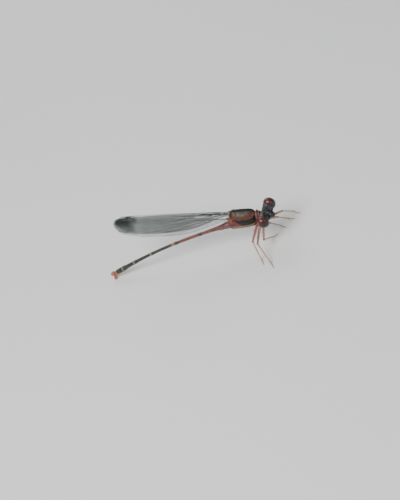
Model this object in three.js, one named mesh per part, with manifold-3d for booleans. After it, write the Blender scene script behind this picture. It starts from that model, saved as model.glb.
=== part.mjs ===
// A small red and black damselfly, life size, standing with its four wings closed over its back.
// Millimetres, +Z up, floor at z = 0. The head points along +X and the insect's left side is +Y.
import * as THREE from "three";
import { mergeVertices } from "three/addons/utils/BufferGeometryUtils.js";
import Module from "manifold-3d";

const wasm = await Module();
wasm.setup();

// The clearance kept between pieces that touch on the real insect.
const GAP = 0.3;

// How the body stands over the floor: where its own origin is, how far the nose dips and how far it leans.
const BODY_AT = new THREE.Vector3(11.0, 1.7, 6.2);
const NOSE_DOWN = THREE.MathUtils.degToRad(3.5);
const LEAN = THREE.MathUtils.degToRad(-8.5);

// The head's place on the body, and its turn, which the neck allows.
const HEAD_AT = new THREE.Vector3(4.4, 0, 0.33);
const HEAD_TURN = new THREE.Euler(...[24, -8, -21].map(THREE.MathUtils.degToRad), "XYZ");

// The bar between the eyes is an oval along Y that is narrower by its waist at the middle.
// The eyes cap its ends.
const HEAD_BAR = { halfX: 0.92, halfZ: 1.02, z: 0.05, waist: 0.16 };
const EYE = { x: 0.1, y: 1.95, z: 0.05, halfX: 1.22, halfY: 1.03, halfZ: 1.28, innerY: 1.5 };

// Wings: span, where each root sits on the thorax, and how steeply each rises.
// The left ones rest a little lower.
const MEMBRANE = 0.42;
const VEIN_RISE = 0.08;
const FOREWING = { span: 23.4, root: [-1.9, 0.35, 1.6], outY: 0.35, rise: { left: 8.2, right: 9.0 } };
const HINDWING = { span: 22.4, root: [-2.55, 0.95, 0.97], outY: 1.13, rise: { left: 9.8, right: 11.6 } };
// The wings' outline: shares of the span, and how far each edge lies over the wing's axis there.
const WING_SHARES = [0, 0.05, 0.12, 0.2, 0.3, 0.43, 0.6, 0.76, 0.88, 0.96, 1];
const WING_LEADING = [0.25, 0.32, 0.42, 0.5, 0.58, 0.65, 0.7, 0.71, 0.65, 0.48, -0.1];
const WING_TRAILING = [-0.25, -0.4, -0.85, -1.6, -2.45, -3.1, -3.4, -3.38, -2.97, -2.38, -1.6];

// Abdomen: segment lengths from the thorax back, and the slope of its axis at each end. Behind the thorax it
// droops by a few degrees more, which fades out over the waist's reach.
const SEGMENT_LENGTHS = [0.6, 1.2, 4.4, 5.5, 5.7, 4.3, 3.0, 1.05, 0.65, 0.5];
const SEGMENT_RADII = [0.72, 0.56, 0.39, 0.36, 0.35, 0.38, 0.46, 0.53, 0.53, 0.47];
const SEGMENT_FLARES = [0.0, 0.03, 0.05, 0.06, 0.07, 0.07, 0.08, 0.02, 0.01, 0.02];
const ABDOMEN_ROOT = [-3.4, -0.73];
const ABDOMEN_SLOPES = [4.5, 21.0].map(THREE.MathUtils.degToRad);
const WAIST_DROOP = THREE.MathUtils.degToRad(4.0);
const WAIST_REACH = 3.0;

// Legs: the hip in the body's frame, and the knee, ankle and toe in the standing frame.
const LEGS = {
  leg_front_right: { hip: [3.4, -0.3, -1.2], knee: [13.8, -1.4, 2.7], ankle: [14.3, 1.4], toe: [15.3, 2.1] },
  leg_middle_right: { hip: [2.9, -0.6, -1.15], knee: [12.6, -2.1, 2.7], ankle: [14.5, -5.3], toe: [15.1, -6.5] },
  leg_hind_right: { hip: [2.2, -0.7, -1.4], knee: [12.5, -3.2, 4.5], ankle: [12.5, -3.8], toe: [13.0, -5.1] },
  leg_front_left: { hip: [3.4, 0.3, -1.2], knee: [17.5, 3.9, 3.8], ankle: [18.3, 7.0], toe: [19.5, 6.3] },
  leg_middle_left: { hip: [2.9, 0.6, -1.15], knee: [16.2, 3.8, 2.7], ankle: [17.3, 5.4], toe: [18.5, 5.2] },
  leg_hind_left: { hip: [2.2, 0.7, -1.4], knee: [14.6, 3.1, 2.3], ankle: [15.8, 4.0], toe: [17.0, 3.3] },
};
const ANKLE_HEIGHT = 0.42;
const TOE_HEIGHT = 0.14;
const LEG_RADII = { coxa: 0.3, thigh: 0.27, knee: 0.26, shin: 0.25, foot: 0.25, toe: 0.17 };

// A closed solid from rings of points that all have the same count, with a fan on each end.
function loft(rings) {
  const sides = rings[0].length;
  const points = rings.flat().flatMap((p) => [p.x, p.y, p.z]);
  const index = [];
  for (let r = 0; r + 1 < rings.length; r++) {
    for (let s = 0; s < sides; s++) {
      const a = r * sides + s;
      const b = r * sides + ((s + 1) % sides);
      index.push(a, b, b + sides, a, b + sides, a + sides);
    }
  }
  const addFan = (ring, start, turned) => {
    const centre = ring.reduce((sum, p) => sum.add(p), new THREE.Vector3());
    centre.divideScalar(sides);
    const middle = points.length / 3;
    points.push(centre.x, centre.y, centre.z);
    for (let s = 0; s < sides; s++) {
      const pair = [start + s, start + ((s + 1) % sides)];
      index.push(middle, ...(turned ? pair.reverse() : pair));
    }
  };
  addFan(rings[0], 0, true);
  addFan(rings[rings.length - 1], (rings.length - 1) * sides, false);
  const geometry = new THREE.BufferGeometry();
  geometry.setAttribute("position", new THREE.Float32BufferAttribute(points, 3));
  geometry.setIndex(index);
  return geometry;
}

// A manifold-3d solid of a closed three.js geometry, turned right side out.
function solid(geometry) {
  const bare = geometry.clone();
  bare.deleteAttribute("normal");
  bare.deleteAttribute("uv");
  const merged = mergeVertices(bare, 1e-5);
  const triVerts = new Uint32Array(merged.index.array);
  const vertProperties = merged.attributes.position.array;
  const made = new wasm.Manifold(new wasm.Mesh({ numProp: 3, vertProperties, triVerts }));
  if (made.volume() > 0) return made;
  triVerts.reverse();
  return new wasm.Manifold(new wasm.Mesh({ numProp: 3, vertProperties, triVerts }));
}

// Joins solids into one, and keeps the largest closed body.
function join(...solids) {
  const bodies = solids.reduce((a, b) => a.add(b)).decompose();
  return bodies.sort((a, b) => b.volume() - a.volume())[0];
}

// A three.js geometry of a manifold-3d solid.
function geometryOf(made) {
  const mesh = made.getMesh();
  const geometry = new THREE.BufferGeometry();
  const count = mesh.numProp;
  const points = [];
  for (let i = 0; i < mesh.vertProperties.length; i += count) {
    points.push(...mesh.vertProperties.slice(i, i + 3));
  }
  geometry.setAttribute("position", new THREE.Float32BufferAttribute(points, 3));
  geometry.setIndex(Array.from(mesh.triVerts));
  return geometry;
}

// An ellipsoid with its half sizes along the axes of the frame that it is made in.
function ellipsoid([x, y, z], [halfX, halfY, halfZ], around = 16, along = 10) {
  const geometry = new THREE.SphereGeometry(1, around, along);
  geometry.scale(halfX, halfY, halfZ);
  geometry.translate(x, y, z);
  return solid(geometry);
}

// A smooth value through control values at rising stations, for profiles of the body.
function profile(stations, values) {
  const curve = new THREE.SplineCurve(stations.map((s, i) => new THREE.Vector2(s, values[i])));
  const samples = curve.getPoints(stations.length * 12);
  return (s) => {
    const at = samples.findIndex((p) => p.x >= s);
    if (at < 1) return at === 0 ? samples[0].y : samples[samples.length - 1].y;
    const [a, b] = [samples[at - 1], samples[at]];
    return THREE.MathUtils.lerp(a.y, b.y, (s - a.x) / (b.x - a.x));
  };
}

// A trunk section: an oval ring across X whose top is drawn in towards a keel.
function trunkRing(x, top, bottom, half, keel, sides) {
  const middle = (top + bottom) / 2;
  const tall = (top - bottom) / 2;
  return Array.from({ length: sides }, (_, i) => {
    const turn = (2 * Math.PI * i) / sides;
    const up = Math.cos(turn);
    const drawIn = 1 - keel * Math.max(0, up) ** 2;
    return new THREE.Vector3(x, half * Math.sin(turn) * drawIn, middle + tall * up);
  });
}

// The synthorax, grown outwards by a margin where another piece is to be cut clear of it.
function synthoraxSolid(margin = 0) {
  const stations = [-3.1, -2.5, -1.8, -0.7, 0.7, 1.8, 2.5];
  const top = profile(stations, [0.0, 1.5, 2.3, 2.22, 2.02, 1.82, 1.55]);
  const bottom = profile(stations, [-1.5, -1.68, -1.75, -1.82, -1.85, -1.75, -1.35]);
  const half = profile(stations, [0.72, 1.15, 1.32, 1.42, 1.42, 1.18, 0.8]);
  const count = 15;
  const rings = Array.from({ length: count }, (_, i) => {
    const share = i / (count - 1);
    const x = THREE.MathUtils.lerp(stations[0], stations[stations.length - 1], share);
    const push = (share - 0.5) * 2 * margin;
    return trunkRing(x + push, top(x) + margin, bottom(x) - margin, half(x) + margin, 0.3, 20);
  });
  return solid(loft(rings));
}

// The postocciput, the back of the head that the neck reaches, in the head's frame.
function headBack(margin = 0) {
  return ellipsoid([-0.55, 0, 0], [0.42 + margin, 0.6 + margin, 0.55 + margin]);
}

// A solid moved from the head's frame into the body's frame.
function fromHead(made) {
  const matrix = new THREE.Matrix4().makeRotationFromEuler(HEAD_TURN).setPosition(HEAD_AT);
  return solid(geometryOf(made).applyMatrix4(matrix));
}

// The prothorax, the small saddle between the synthorax and the head.
function prothoraxSolid(margin = 0) {
  const stations = [2.5 + GAP, 3.15, 3.55, 4.1];
  const top = profile(stations, [1.25, 1.2, 1.0, 0.7]);
  const bottom = profile(stations, [-1.15, -1.2, -1.05, -0.6]);
  const half = profile(stations, [0.95, 1.05, 0.9, 0.6]);
  const count = 7;
  const rings = Array.from({ length: count }, (_, i) => {
    const share = i / (count - 1);
    const x = THREE.MathUtils.lerp(stations[0], stations[stations.length - 1], share);
    const push = (share - 0.5) * 2 * margin;
    return trunkRing(x + push, top(x) + margin, bottom(x) - margin, half(x) + margin, 0.1, 16);
  });
  return solid(loft(rings));
}

// The bar between the eyes, the brow, face, lips and jaws, joined into one head capsule.
function headSolid(margin = 0) {
  const barHalf = EYE.innerY - GAP;
  const rings = [-1, -0.7, -0.35, 0, 0.35, 0.7, 1].map((share) => {
    const swell = 1 - HEAD_BAR.waist * (1 - share * share);
    return Array.from({ length: 18 }, (_, i) => {
      const turn = (-2 * Math.PI * i) / 18;
      const x = (HEAD_BAR.halfX * swell + margin) * Math.cos(turn);
      const z = HEAD_BAR.z + (HEAD_BAR.halfZ * swell + margin) * Math.sin(turn);
      return new THREE.Vector3(x, share * (barHalf + margin), z);
    });
  });
  const grow = (half) => half.map((h) => h + margin);
  return join(
    solid(loft(rings)),
    headBack(margin),
    ellipsoid([0.55, 0, 0.35], grow([0.55, 0.62, 0.5]), 14, 9),
    ellipsoid([0.85, 0, -0.25], grow([0.75, 0.72, 0.55]), 16, 10),
    ellipsoid([1.2, 0, -0.68], grow([0.5, 0.6, 0.42]), 14, 9),
    ellipsoid([0.62, 0.42, -0.85], grow([0.5, 0.4, 0.42]), 12, 8),
    ellipsoid([0.62, -0.42, -0.85], grow([0.5, 0.4, 0.42]), 12, 8),
    ellipsoid([0.2, 0, -0.95], grow([0.75, 0.48, 0.35]), 12, 8),
  );
}

// An eye, which caps one end of the bar.
function eyeSolid(side, margin = 0) {
  const { x, y, z, halfX, halfY, halfZ, innerY } = EYE;
  const half = [halfX, halfY, halfZ].map((h) => h + margin);
  return ellipsoid([x, side * y, z], half, 22, 14).trimByPlane([0, side, 0], innerY - margin);
}

// A feeler: a stout first joint, a second joint and a bristle that tapers to its tip.
function antennaSolid(side) {
  const root = new THREE.Vector3(0.75, side * 0.42, 0.25);
  const way = new THREE.Vector3(0.85, side * 0.4, 0.2).normalize();
  const joints = [[0, 0.25], [0.75, 0.27], [0.9, 0.22], [1.3, 0.25], [1.45, 0.2], [1.9, 0.16], [2.4, 0.06]];
  return solid(rod(joints.map(([s, r]) => [root.clone().addScaledVector(way, s), r]), 8));
}

// A round rod through points with a radius at each, whose rings stand square to the path.
function rod(stations, sides) {
  const points = stations.map(([p]) => p);
  const rings = stations.map(([centre, radius], i) => {
    const before = points[Math.max(0, i - 1)];
    const after = points[Math.min(points.length - 1, i + 1)];
    const way = after.clone().sub(before).normalize();
    const reference = Math.abs(way.y) < 0.8 ? new THREE.Vector3(0, 1, 0) : new THREE.Vector3(1, 0, 0);
    const side = reference.addScaledVector(way, -reference.dot(way)).normalize();
    const up = way.clone().cross(side);
    return Array.from({ length: sides }, (_, k) => {
      const turn = (2 * Math.PI * k) / sides;
      return centre
        .clone()
        .addScaledVector(side, radius * Math.cos(turn))
        .addScaledVector(up, radius * Math.sin(turn));
    });
  });
  return loft(rings);
}

// A wing: a flat blade in the body's plane of symmetry, with its main veins raised on its outer face.
function wingSolid(wing, side) {
  const leading = profile(WING_SHARES, WING_LEADING);
  const trailing = profile(WING_SHARES, WING_TRAILING);
  // Across the chord: 0 at the leading edge and 1 at the trailing edge, with a raised line on each vein.
  const across = [0, 0.05, 0.09, 0.13, 0.2, 0.26, 0.32, 0.4, 0.46, 0.52, 0.62, 0.68, 0.74, 0.87, 1];
  const raised = new Map([
    [0, 0.7],
    [0.09, 1],
    [0.26, 0.8],
    [0.46, 0.8],
    [0.68, 0.7],
  ]);
  const stigma = { from: 0.865, to: 0.905, inner: 0.05 };
  const along = [-0.05, 0, 0.04, 0.09, 0.15, 0.21, 0.27, 0.34, 0.41, 0.48, 0.55, 0.62, 0.69];
  along.push(0.76, 0.82, stigma.from, stigma.to, 0.93, 0.955, 0.975, 0.99, 1);
  const rise = THREE.MathUtils.degToRad(wing.rise[side > 0 ? "left" : "right"]);
  const back = new THREE.Vector3(-Math.cos(rise), 0, Math.sin(rise));
  const up = new THREE.Vector3(Math.sin(rise), 0, Math.cos(rise));
  const [rootX, rootY, rootZ] = wing.root;
  const rings = along.map((u) => {
    const share = Math.max(0, u);
    const spread = THREE.MathUtils.smoothstep(share, 0, 0.1);
    const y = THREE.MathUtils.lerp(rootY, wing.outY, spread);
    const top = leading(share);
    const low = trailing(share);
    const chord = top - low;
    const centre = new THREE.Vector3(rootX, 0, rootZ).addScaledVector(back, u * wing.span);
    const point = (v, offset) => {
      const p = centre.clone().addScaledVector(up, top - v * chord);
      return p.setY(side * (y + offset));
    };
    const fade = THREE.MathUtils.smoothstep(chord, 0.7, 1.6);
    const outer = across.map((v) => {
      const onStigma = u >= stigma.from && u <= stigma.to && v === stigma.inner;
      const height = onStigma ? 1 : (raised.get(v) ?? 0);
      return point(v, MEMBRANE / 2 + VEIN_RISE * height * fade);
    });
    const inner = across.map((v) => point(v, -MEMBRANE / 2));
    return [...outer, ...inner.reverse()];
  });
  return bladeSolid(rings, across.length);
}

// A blade from rings that run out along one face and back along the other, with flat ends.
function bladeSolid(rings, width) {
  const sides = 2 * width;
  const points = rings.flat().flatMap((p) => [p.x, p.y, p.z]);
  const index = [];
  for (let r = 0; r + 1 < rings.length; r++) {
    for (let s = 0; s < sides; s++) {
      const next = (s + 1) % sides;
      const [a, b] = [r * sides + s, r * sides + next];
      const [c, d] = [b + sides, a + sides];
      // Both faces are split along the same diagonal, so that they can't cross where the blade is thin.
      if (s < width) index.push(a, b, c, a, c, d);
      else index.push(a, b, d, b, c, d);
    }
  }
  const cap = (start, turned) => {
    for (let s = 0; s + 1 < width; s++) {
      const [a, b] = [start + s, start + s + 1];
      const [c, d] = [start + sides - 2 - s, start + sides - 1 - s];
      index.push(...(turned ? [a, c, b, a, d, c] : [a, b, c, a, c, d]));
    }
  };
  cap(0, true);
  cap((rings.length - 1) * sides, false);
  const geometry = new THREE.BufferGeometry();
  geometry.setAttribute("position", new THREE.Float32BufferAttribute(points, 3));
  geometry.setIndex(index);
  return solid(geometry);
}

// The abdomen's axis in the body's plane of symmetry: the point and the backward way at a distance along it.
const ABDOMEN_LENGTH = SEGMENT_LENGTHS.reduce((sum, length) => sum + length, 0);
function abdomenAxis(distance) {
  const steps = 60;
  const slopeAt = (s) =>
    THREE.MathUtils.lerp(...ABDOMEN_SLOPES, s / ABDOMEN_LENGTH) + WAIST_DROOP * Math.exp(-s / WAIST_REACH);
  const at = new THREE.Vector3(ABDOMEN_ROOT[0], 0, ABDOMEN_ROOT[1]);
  const step = distance / steps;
  for (let i = 0; i < steps; i++) {
    const slope = slopeAt((i + 0.5) * step);
    at.add(new THREE.Vector3(-Math.cos(slope) * step, 0, -Math.sin(slope) * step));
  }
  const slope = slopeAt(distance);
  return { at, way: new THREE.Vector3(-Math.cos(slope), 0, -Math.sin(slope)) };
}

// One segment: a slim drum along the axis, a little wider at its two ends.
function segmentSolid(number, start, end) {
  const radius = SEGMENT_RADII[number - 1];
  const next = SEGMENT_RADII[Math.min(number, SEGMENT_RADII.length - 1)];
  const flare = SEGMENT_FLARES[number - 1];
  const count = Math.max(3, Math.round((end - start) / 0.9) + 2);
  const sides = 14;
  const rings = Array.from({ length: count }, (_, i) => {
    const share = i / (count - 1);
    const { at, way } = abdomenAxis(THREE.MathUtils.lerp(start, end, share));
    const up = new THREE.Vector3(0, 1, 0).cross(way).negate().normalize();
    const middle = THREE.MathUtils.lerp(radius, (radius + next) / 2, share);
    const r = middle + flare * Math.abs(2 * share - 1) ** 3;
    return Array.from({ length: sides }, (_, k) => {
      const turn = (2 * Math.PI * k) / sides;
      const sideways = new THREE.Vector3(0, r * Math.sin(turn), 0);
      return at.clone().add(sideways).addScaledVector(up, 1.05 * r * Math.cos(turn));
    });
  });
  const drum = solid(loft(rings));
  if (number !== 2) return drum;
  // The second segment carries a low pouch under it.
  const { at } = abdomenAxis((start + end) / 2);
  return join(drum, ellipsoid([at.x, 0, at.z - 0.5], [0.42, 0.3, 0.3], 12, 8));
}

// The claspers at the tail's end: two upper prongs that rise and two lower ones that reach down.
function claspersSolid() {
  const { at, way } = abdomenAxis(ABDOMEN_LENGTH + GAP);
  const up = new THREE.Vector3(0, 1, 0).cross(way).negate().normalize();
  const place = (along, sideways, rise) =>
    at.clone().addScaledVector(way, along).addScaledVector(up, rise).setY(sideways);
  const plate = rod([[place(0, 0, 0), 0.42], [place(0.35, 0, 0), 0.36]], 12);
  const prongs = [1, -1].flatMap((side) => [
    rod(
      [
        [place(0.05, side * 0.2, 0.18), 0.24],
        [place(0.42, side * 0.3, 0.4), 0.28],
        [place(0.74, side * 0.24, 0.46), 0.18],
      ],
      8,
    ),
    rod(
      [
        [place(0.05, side * 0.18, -0.2), 0.26],
        [place(0.45, side * 0.26, -0.62), 0.26],
        [place(0.72, side * 0.24, -0.98), 0.2],
      ],
      8,
    ),
  ]);
  return join(solid(plate), ...prongs.map(solid));
}

// A straight tapered limb through the given distances and radii, with a rounded far end.
function limb(from, to, joints, sides = 10) {
  const way = to.clone().sub(from).normalize();
  const length = from.distanceTo(to);
  const radius = joints[joints.length - 1][1];
  const stations = joints.map(([share, r]) => [share * length, r]);
  stations.push([length + 0.55 * radius, 0.84 * radius], [length + 0.9 * radius, 0.44 * radius]);
  return solid(rod(stations.map(([s, r]) => [from.clone().addScaledVector(way, s), r]), sides));
}

const ball = (centre, radius) => ellipsoid(centre.toArray(), [radius, radius, radius], 12, 8);

// The body's place over the floor, as a group and as a matrix.
const damselfly = new THREE.Group();
const body = new THREE.Group();
body.position.copy(BODY_AT);
body.rotation.set(LEAN, NOSE_DOWN, 0, "YXZ");
damselfly.add(body);
damselfly.updateMatrixWorld(true);
const bodyMatrix = body.matrixWorld.clone();
const standing = (made) => solid(geometryOf(made).applyMatrix4(bodyMatrix));

// The floor that everything stands on, as a block to cut with.
const floorBlock = solid(new THREE.BoxGeometry(80, 80, 4).translate(0, 0, -2));

// A leg in the standing frame: a thigh with its hip joint, a shin, and a foot that lies along the floor.
// Each is cupped at its root to clear the rounded end of the one above it.
function legSolids({ hip, knee, ankle, toe }) {
  const hipAt = new THREE.Vector3(...hip).applyMatrix4(bodyMatrix);
  const kneeAt = new THREE.Vector3(...knee);
  const ankleAt = new THREE.Vector3(...ankle, ANKLE_HEIGHT);
  const toeAt = new THREE.Vector3(...toe, TOE_HEIGHT);
  const { coxa, thigh, knee: kneeR, shin, foot, toe: toeR } = LEG_RADII;
  return {
    thigh: limb(hipAt, kneeAt, [[0, coxa], [0.14, coxa], [0.22, thigh], [1, kneeR]]),
    shin: limb(kneeAt, ankleAt, [[0, kneeR], [1, shin]]).subtract(ball(kneeAt, kneeR + GAP)),
    foot: limb(ankleAt, toeAt, [[0, foot], [1, toeR]])
      .subtract(ball(ankleAt, shin + GAP))
      .subtract(floorBlock),
  };
}

const COLOURS = {
  thorax: [0x6e3a2e, 0.55],
  collar: [0x8a4a44, 0.5],
  capsule: [0x23282c, 0.35],
  eye: [0x5a1c16, 0.18],
  feeler: [0x2a2420, 0.5],
  red_tail: [0xa8503c, 0.45],
  dark_tail: [0x2f3833, 0.45],
  tip: [0xb06048, 0.45],
  wing: [0x3c5a50, 0.3],
  thigh: [0x9a5a48, 0.5],
  shin: [0xc8a880, 0.5],
};

function addPiece(parent, name, made, finish) {
  const [color, roughness] = COLOURS[finish];
  const material = new THREE.MeshStandardMaterial({ color, roughness, metalness: 0 });
  const mesh = new THREE.Mesh(geometryOf(made), material);
  mesh.name = name;
  parent.add(mesh);
}

// Thorax and neck. The neck's front is hollowed to the back of the head.
const clearOfHead = headSolid(GAP);
addPiece(body, "synthorax", synthoraxSolid(), "thorax");
const headRoom = fromHead(join(clearOfHead, eyeSolid(1, GAP), eyeSolid(-1, GAP)));
addPiece(body, "prothorax", join(prothoraxSolid().subtract(headRoom)), "collar");

// Head, eyes and feelers, in a group of their own that is turned on the neck.
const head = new THREE.Group();
head.position.copy(HEAD_AT);
head.rotation.copy(HEAD_TURN);
body.add(head);
addPiece(head, "head", headSolid(), "capsule");
for (const [side, hand] of [[1, "left"], [-1, "right"]]) {
  addPiece(head, `eye_${hand}`, join(eyeSolid(side).subtract(clearOfHead)), "eye");
  addPiece(head, `antenna_${hand}`, join(antennaSolid(side).subtract(clearOfHead)), "feeler");
}

// Wings, each cut clear of the thorax where its stalk meets it.
const clearOfThorax = synthoraxSolid(GAP);
for (const [side, hand] of [[1, "left"], [-1, "right"]]) {
  for (const [wing, place] of [[FOREWING, "fore"], [HINDWING, "hind"]]) {
    const made = join(wingSolid(wing, side).subtract(clearOfThorax));
    addPiece(body, `${place}wing_${hand}`, made, "wing");
  }
}

// Abdomen, one segment after another with a gap between them.
let start = 0;
SEGMENT_LENGTHS.forEach((length, i) => {
  const number = i + 1;
  const end = start + length;
  const finish = number <= 4 ? "red_tail" : number < 10 ? "dark_tail" : "tip";
  addPiece(body, `abdomen_${number}`, segmentSolid(number, start, end - GAP), finish);
  start = end;
});

// The claspers rest on the floor with a small flat under the lower pair.
const claspers = join(standing(claspersSolid()).subtract(floorBlock));
addPiece(damselfly, "claspers", claspers, "tip");

// Legs, whose thighs are cut clear of the trunk that carries them.
const trunk = standing(join(clearOfThorax, prothoraxSolid(GAP)));
for (const [name, leg] of Object.entries(LEGS)) {
  const { thigh, shin, foot } = legSolids(leg);
  addPiece(damselfly, `${name}_thigh`, join(thigh.subtract(trunk)), "thigh");
  addPiece(damselfly, `${name}_shin`, join(shin), "shin");
  addPiece(damselfly, `${name}_foot`, join(foot), "shin");
}

export default damselfly;
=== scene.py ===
"""A life-size damselfly, standing still with its wings closed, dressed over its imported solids.

Lengths in the classes are millimetres in the body's own frame, which has X forward, Y to the insect's left
and Z up out of its back. Stance turns them into the standing frame, whose floor is at z = 0, and Workshop
turns them into metres.
"""

import logging
import math
from dataclasses import dataclass, field
from enum import Enum

import bpy
import numpy as np
from mathutils import Matrix, Vector


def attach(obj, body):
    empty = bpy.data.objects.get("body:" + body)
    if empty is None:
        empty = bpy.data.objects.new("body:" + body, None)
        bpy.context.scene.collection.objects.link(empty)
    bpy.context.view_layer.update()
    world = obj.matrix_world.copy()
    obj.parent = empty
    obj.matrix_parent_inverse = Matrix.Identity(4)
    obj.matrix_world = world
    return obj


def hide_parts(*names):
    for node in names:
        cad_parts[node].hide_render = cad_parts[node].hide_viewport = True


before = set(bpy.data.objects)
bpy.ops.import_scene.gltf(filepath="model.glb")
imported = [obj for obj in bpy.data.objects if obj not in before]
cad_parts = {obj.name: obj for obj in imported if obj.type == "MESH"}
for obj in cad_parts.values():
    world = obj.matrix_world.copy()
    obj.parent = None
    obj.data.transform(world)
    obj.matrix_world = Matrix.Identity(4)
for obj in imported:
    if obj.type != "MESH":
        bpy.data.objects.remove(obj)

LOG = logging.getLogger("damselfly")
MM = 0.001
Array = np.ndarray
FULL_TURN = 2 * math.pi
LEFTWARD = np.array([0.0, 1.0, 0.0])
UPWARD = np.array([0.0, 0.0, 1.0])
# How far from its poles a rounded grid begins and ends, in radians.
POLE = 0.012
# How deep a hair's root is sunk into the skin.
ROOTED = 0.02
# The sine waves in an uneven field, and what brings their mean to about 1 at its crests.
WAVES, WAVE_GAIN = 6, 1.6


class Tint(Enum):
    """The colours of the insect's skin, as 8-bit sRGB."""

    BLACK = (16, 20, 20)
    GREEN_BLACK = (26, 34, 28)
    OLIVE = (66, 50, 33)
    DUSK = (50, 60, 48)
    OLIVE_GREY = (62, 58, 46)
    BLUE_BLACK = (16, 24, 32)
    RED = (112, 52, 42)
    DARK_RED = (76, 34, 31)
    ROSE = (108, 60, 54)
    MAUVE = (112, 68, 70)
    PINK = (184, 128, 110)
    SALMON = (168, 100, 74)
    PALE = (186, 156, 116)
    STRAW = (184, 150, 108)
    TAN = (128, 104, 62)
    # Partly the lip's own colour, partly a painted reflection of its gloss.
    BLUE_GREY_SHEEN = (56, 66, 82)
    EYE_RED = (88, 30, 25)
    EYE_DARK = (20, 8, 8)
    VEIN = (8, 22, 18)
    SMOKE = (2, 60, 48)
    GLEAM = (176, 214, 190)
    SMOKE_DARK = (0, 20, 26)

    @property
    def linear(self) -> Array:
        """The colour as linear red, green and blue."""
        share = np.array(self.value) / 255.0
        return np.where(share <= 0.04045, share / 12.92, ((share + 0.055) / 1.055) ** 2.4)


class Side(Enum):
    """The insect's two sides, by the sign of Y."""

    LEFT = 1
    RIGHT = -1

    @property
    def hand(self) -> str:
        """The side as it stands in the names of pieces."""
        return self.name.lower()


def smooth(low: float | Array, high: float | Array, x: Array) -> Array:
    """A smooth step: 0 before low, 1 past high, and 3t^2 - 2t^3 between them.

    Args:
        low: where the step begins.
        high: where it ends; below low for a step that falls with x.
        x: the values to read it at.

    Returns:
        The step's height at each value.
    """
    t = np.clip((x - low) / (np.asarray(high) - low), 0.0, 1.0)
    return t * t * (3.0 - 2.0 * t)


def hump(centre: float | Array, width: float | Array, x: Array) -> Array:
    """A bell curve, exp(-((x - centre) / width)^2), of height 1.

    Args:
        centre: where it is highest.
        width: how far from there it has fallen to 1 / e.
        x: the values to read it at.

    Returns:
        The curve's height at each value.
    """
    return np.exp(-(((x - centre) / width) ** 2))


def curve(stations: tuple[float, ...], values: tuple[float, ...], x: Array) -> Array:
    """A smooth curve through values at rising stations: cubic Hermite pieces with centred slopes.

    Args:
        stations: the rising places of the values.
        values: the curve's height at each station.
        x: where to read the curve.

    Returns:
        The curve's height at each x, held level past both ends.
    """
    s, v = np.array(stations, float), np.array(values, float)
    slopes = np.gradient(v, s)
    x = np.clip(x, s[0], s[-1])
    at = np.clip(np.searchsorted(s, x, side="right") - 1, 0, len(s) - 2)
    step = s[at + 1] - s[at]
    t = (x - s[at]) / step
    return (
        (2 * t**3 - 3 * t**2 + 1) * v[at]
        + (t**3 - 2 * t**2 + t) * step * slopes[at]
        + (-2 * t**3 + 3 * t**2) * v[at + 1]
        + (t**3 - t**2) * step * slopes[at + 1]
    )


def blend(under: Array, tint: Tint, share: Array) -> Array:
    """Lays a tint over colours.

    Args:
        under: linear colours, with red, green and blue on the last axis.
        tint: the colour to lay over them.
        share: how much of it shows at each place, 0 to 1.

    Returns:
        The mixed colours.
    """
    share = np.clip(np.asarray(share), 0.0, 1.0)[..., None]
    return under * (1.0 - share) + tint.linear * share


def coat_of(tint: Tint, shape: tuple[int, ...]) -> Array:
    """Colours of one tint for a grid of the given shape."""
    return np.broadcast_to(tint.linear, (*shape, 3)).copy()


def unit(ways: Array) -> Array:
    """The same ways at length 1."""
    return ways / (np.linalg.norm(ways, axis=-1, keepdims=True) + 1e-12)


def ripple(points: Array, size: float, seed: int) -> Array:
    """A smooth uneven field, mostly from -1 to 1: the mean of seeded sine waves, times a gain.

    Args:
        points: places, with x, y and z on the last axis.
        size: the usual distance between two crests.
        seed: picks the waves.

    Returns:
        The field's value at each place.
    """
    draw = np.random.default_rng(seed)
    ways = draw.normal(size=(WAVES, 3))
    turns = (FULL_TURN / size) * draw.uniform(0.7, 1.4, (WAVES, 1))
    ways *= turns / np.linalg.norm(ways, axis=1, keepdims=True)
    phases = draw.uniform(0, FULL_TURN, WAVES)
    return np.sin(points @ ways.T + phases).mean(-1) * WAVE_GAIN


def turn_about(axis: int, degrees: float) -> Array:
    """The matrix of a turn about a main axis.

    Args:
        axis: 0 for X, 1 for Y and 2 for Z.
        degrees: the turn, from the next axis towards the one after it.

    Returns:
        The 3 by 3 matrix.
    """
    c, s = math.cos(math.radians(degrees)), math.sin(math.radians(degrees))
    a, b = (axis + 1) % 3, (axis + 2) % 3
    matrix = np.eye(3)
    matrix[a, a], matrix[a, b], matrix[b, a], matrix[b, b] = c, -s, s, c
    return matrix


@dataclass(frozen=True)
class Stance:
    """How the body's frame stands over the floor."""

    origin: tuple[float, float, float] = (11.0, 1.7, 6.2)
    nose_down: float = 3.5
    lean: float = -8.5

    def matrix(self) -> Array:
        """The body frame's turn."""
        return turn_about(1, self.nose_down) @ turn_about(0, self.lean)

    def stand(self, points: Array) -> Array:
        """Body places in the standing frame, in millimetres."""
        return points @ self.matrix().T + np.array(self.origin)


@dataclass(frozen=True)
class HeadPlace:
    """Where the head sits on the neck, and how it is turned."""

    origin: tuple[float, float, float] = (4.4, 0.0, 0.33)
    roll: float = 24.0
    pitch: float = -8.0
    yaw: float = -21.0

    def to_body(self, points: Array) -> Array:
        """Head places in the body's frame."""
        matrix = turn_about(0, self.roll) @ turn_about(1, self.pitch) @ turn_about(2, self.yaw)
        return points @ matrix.T + np.array(self.origin)


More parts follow.
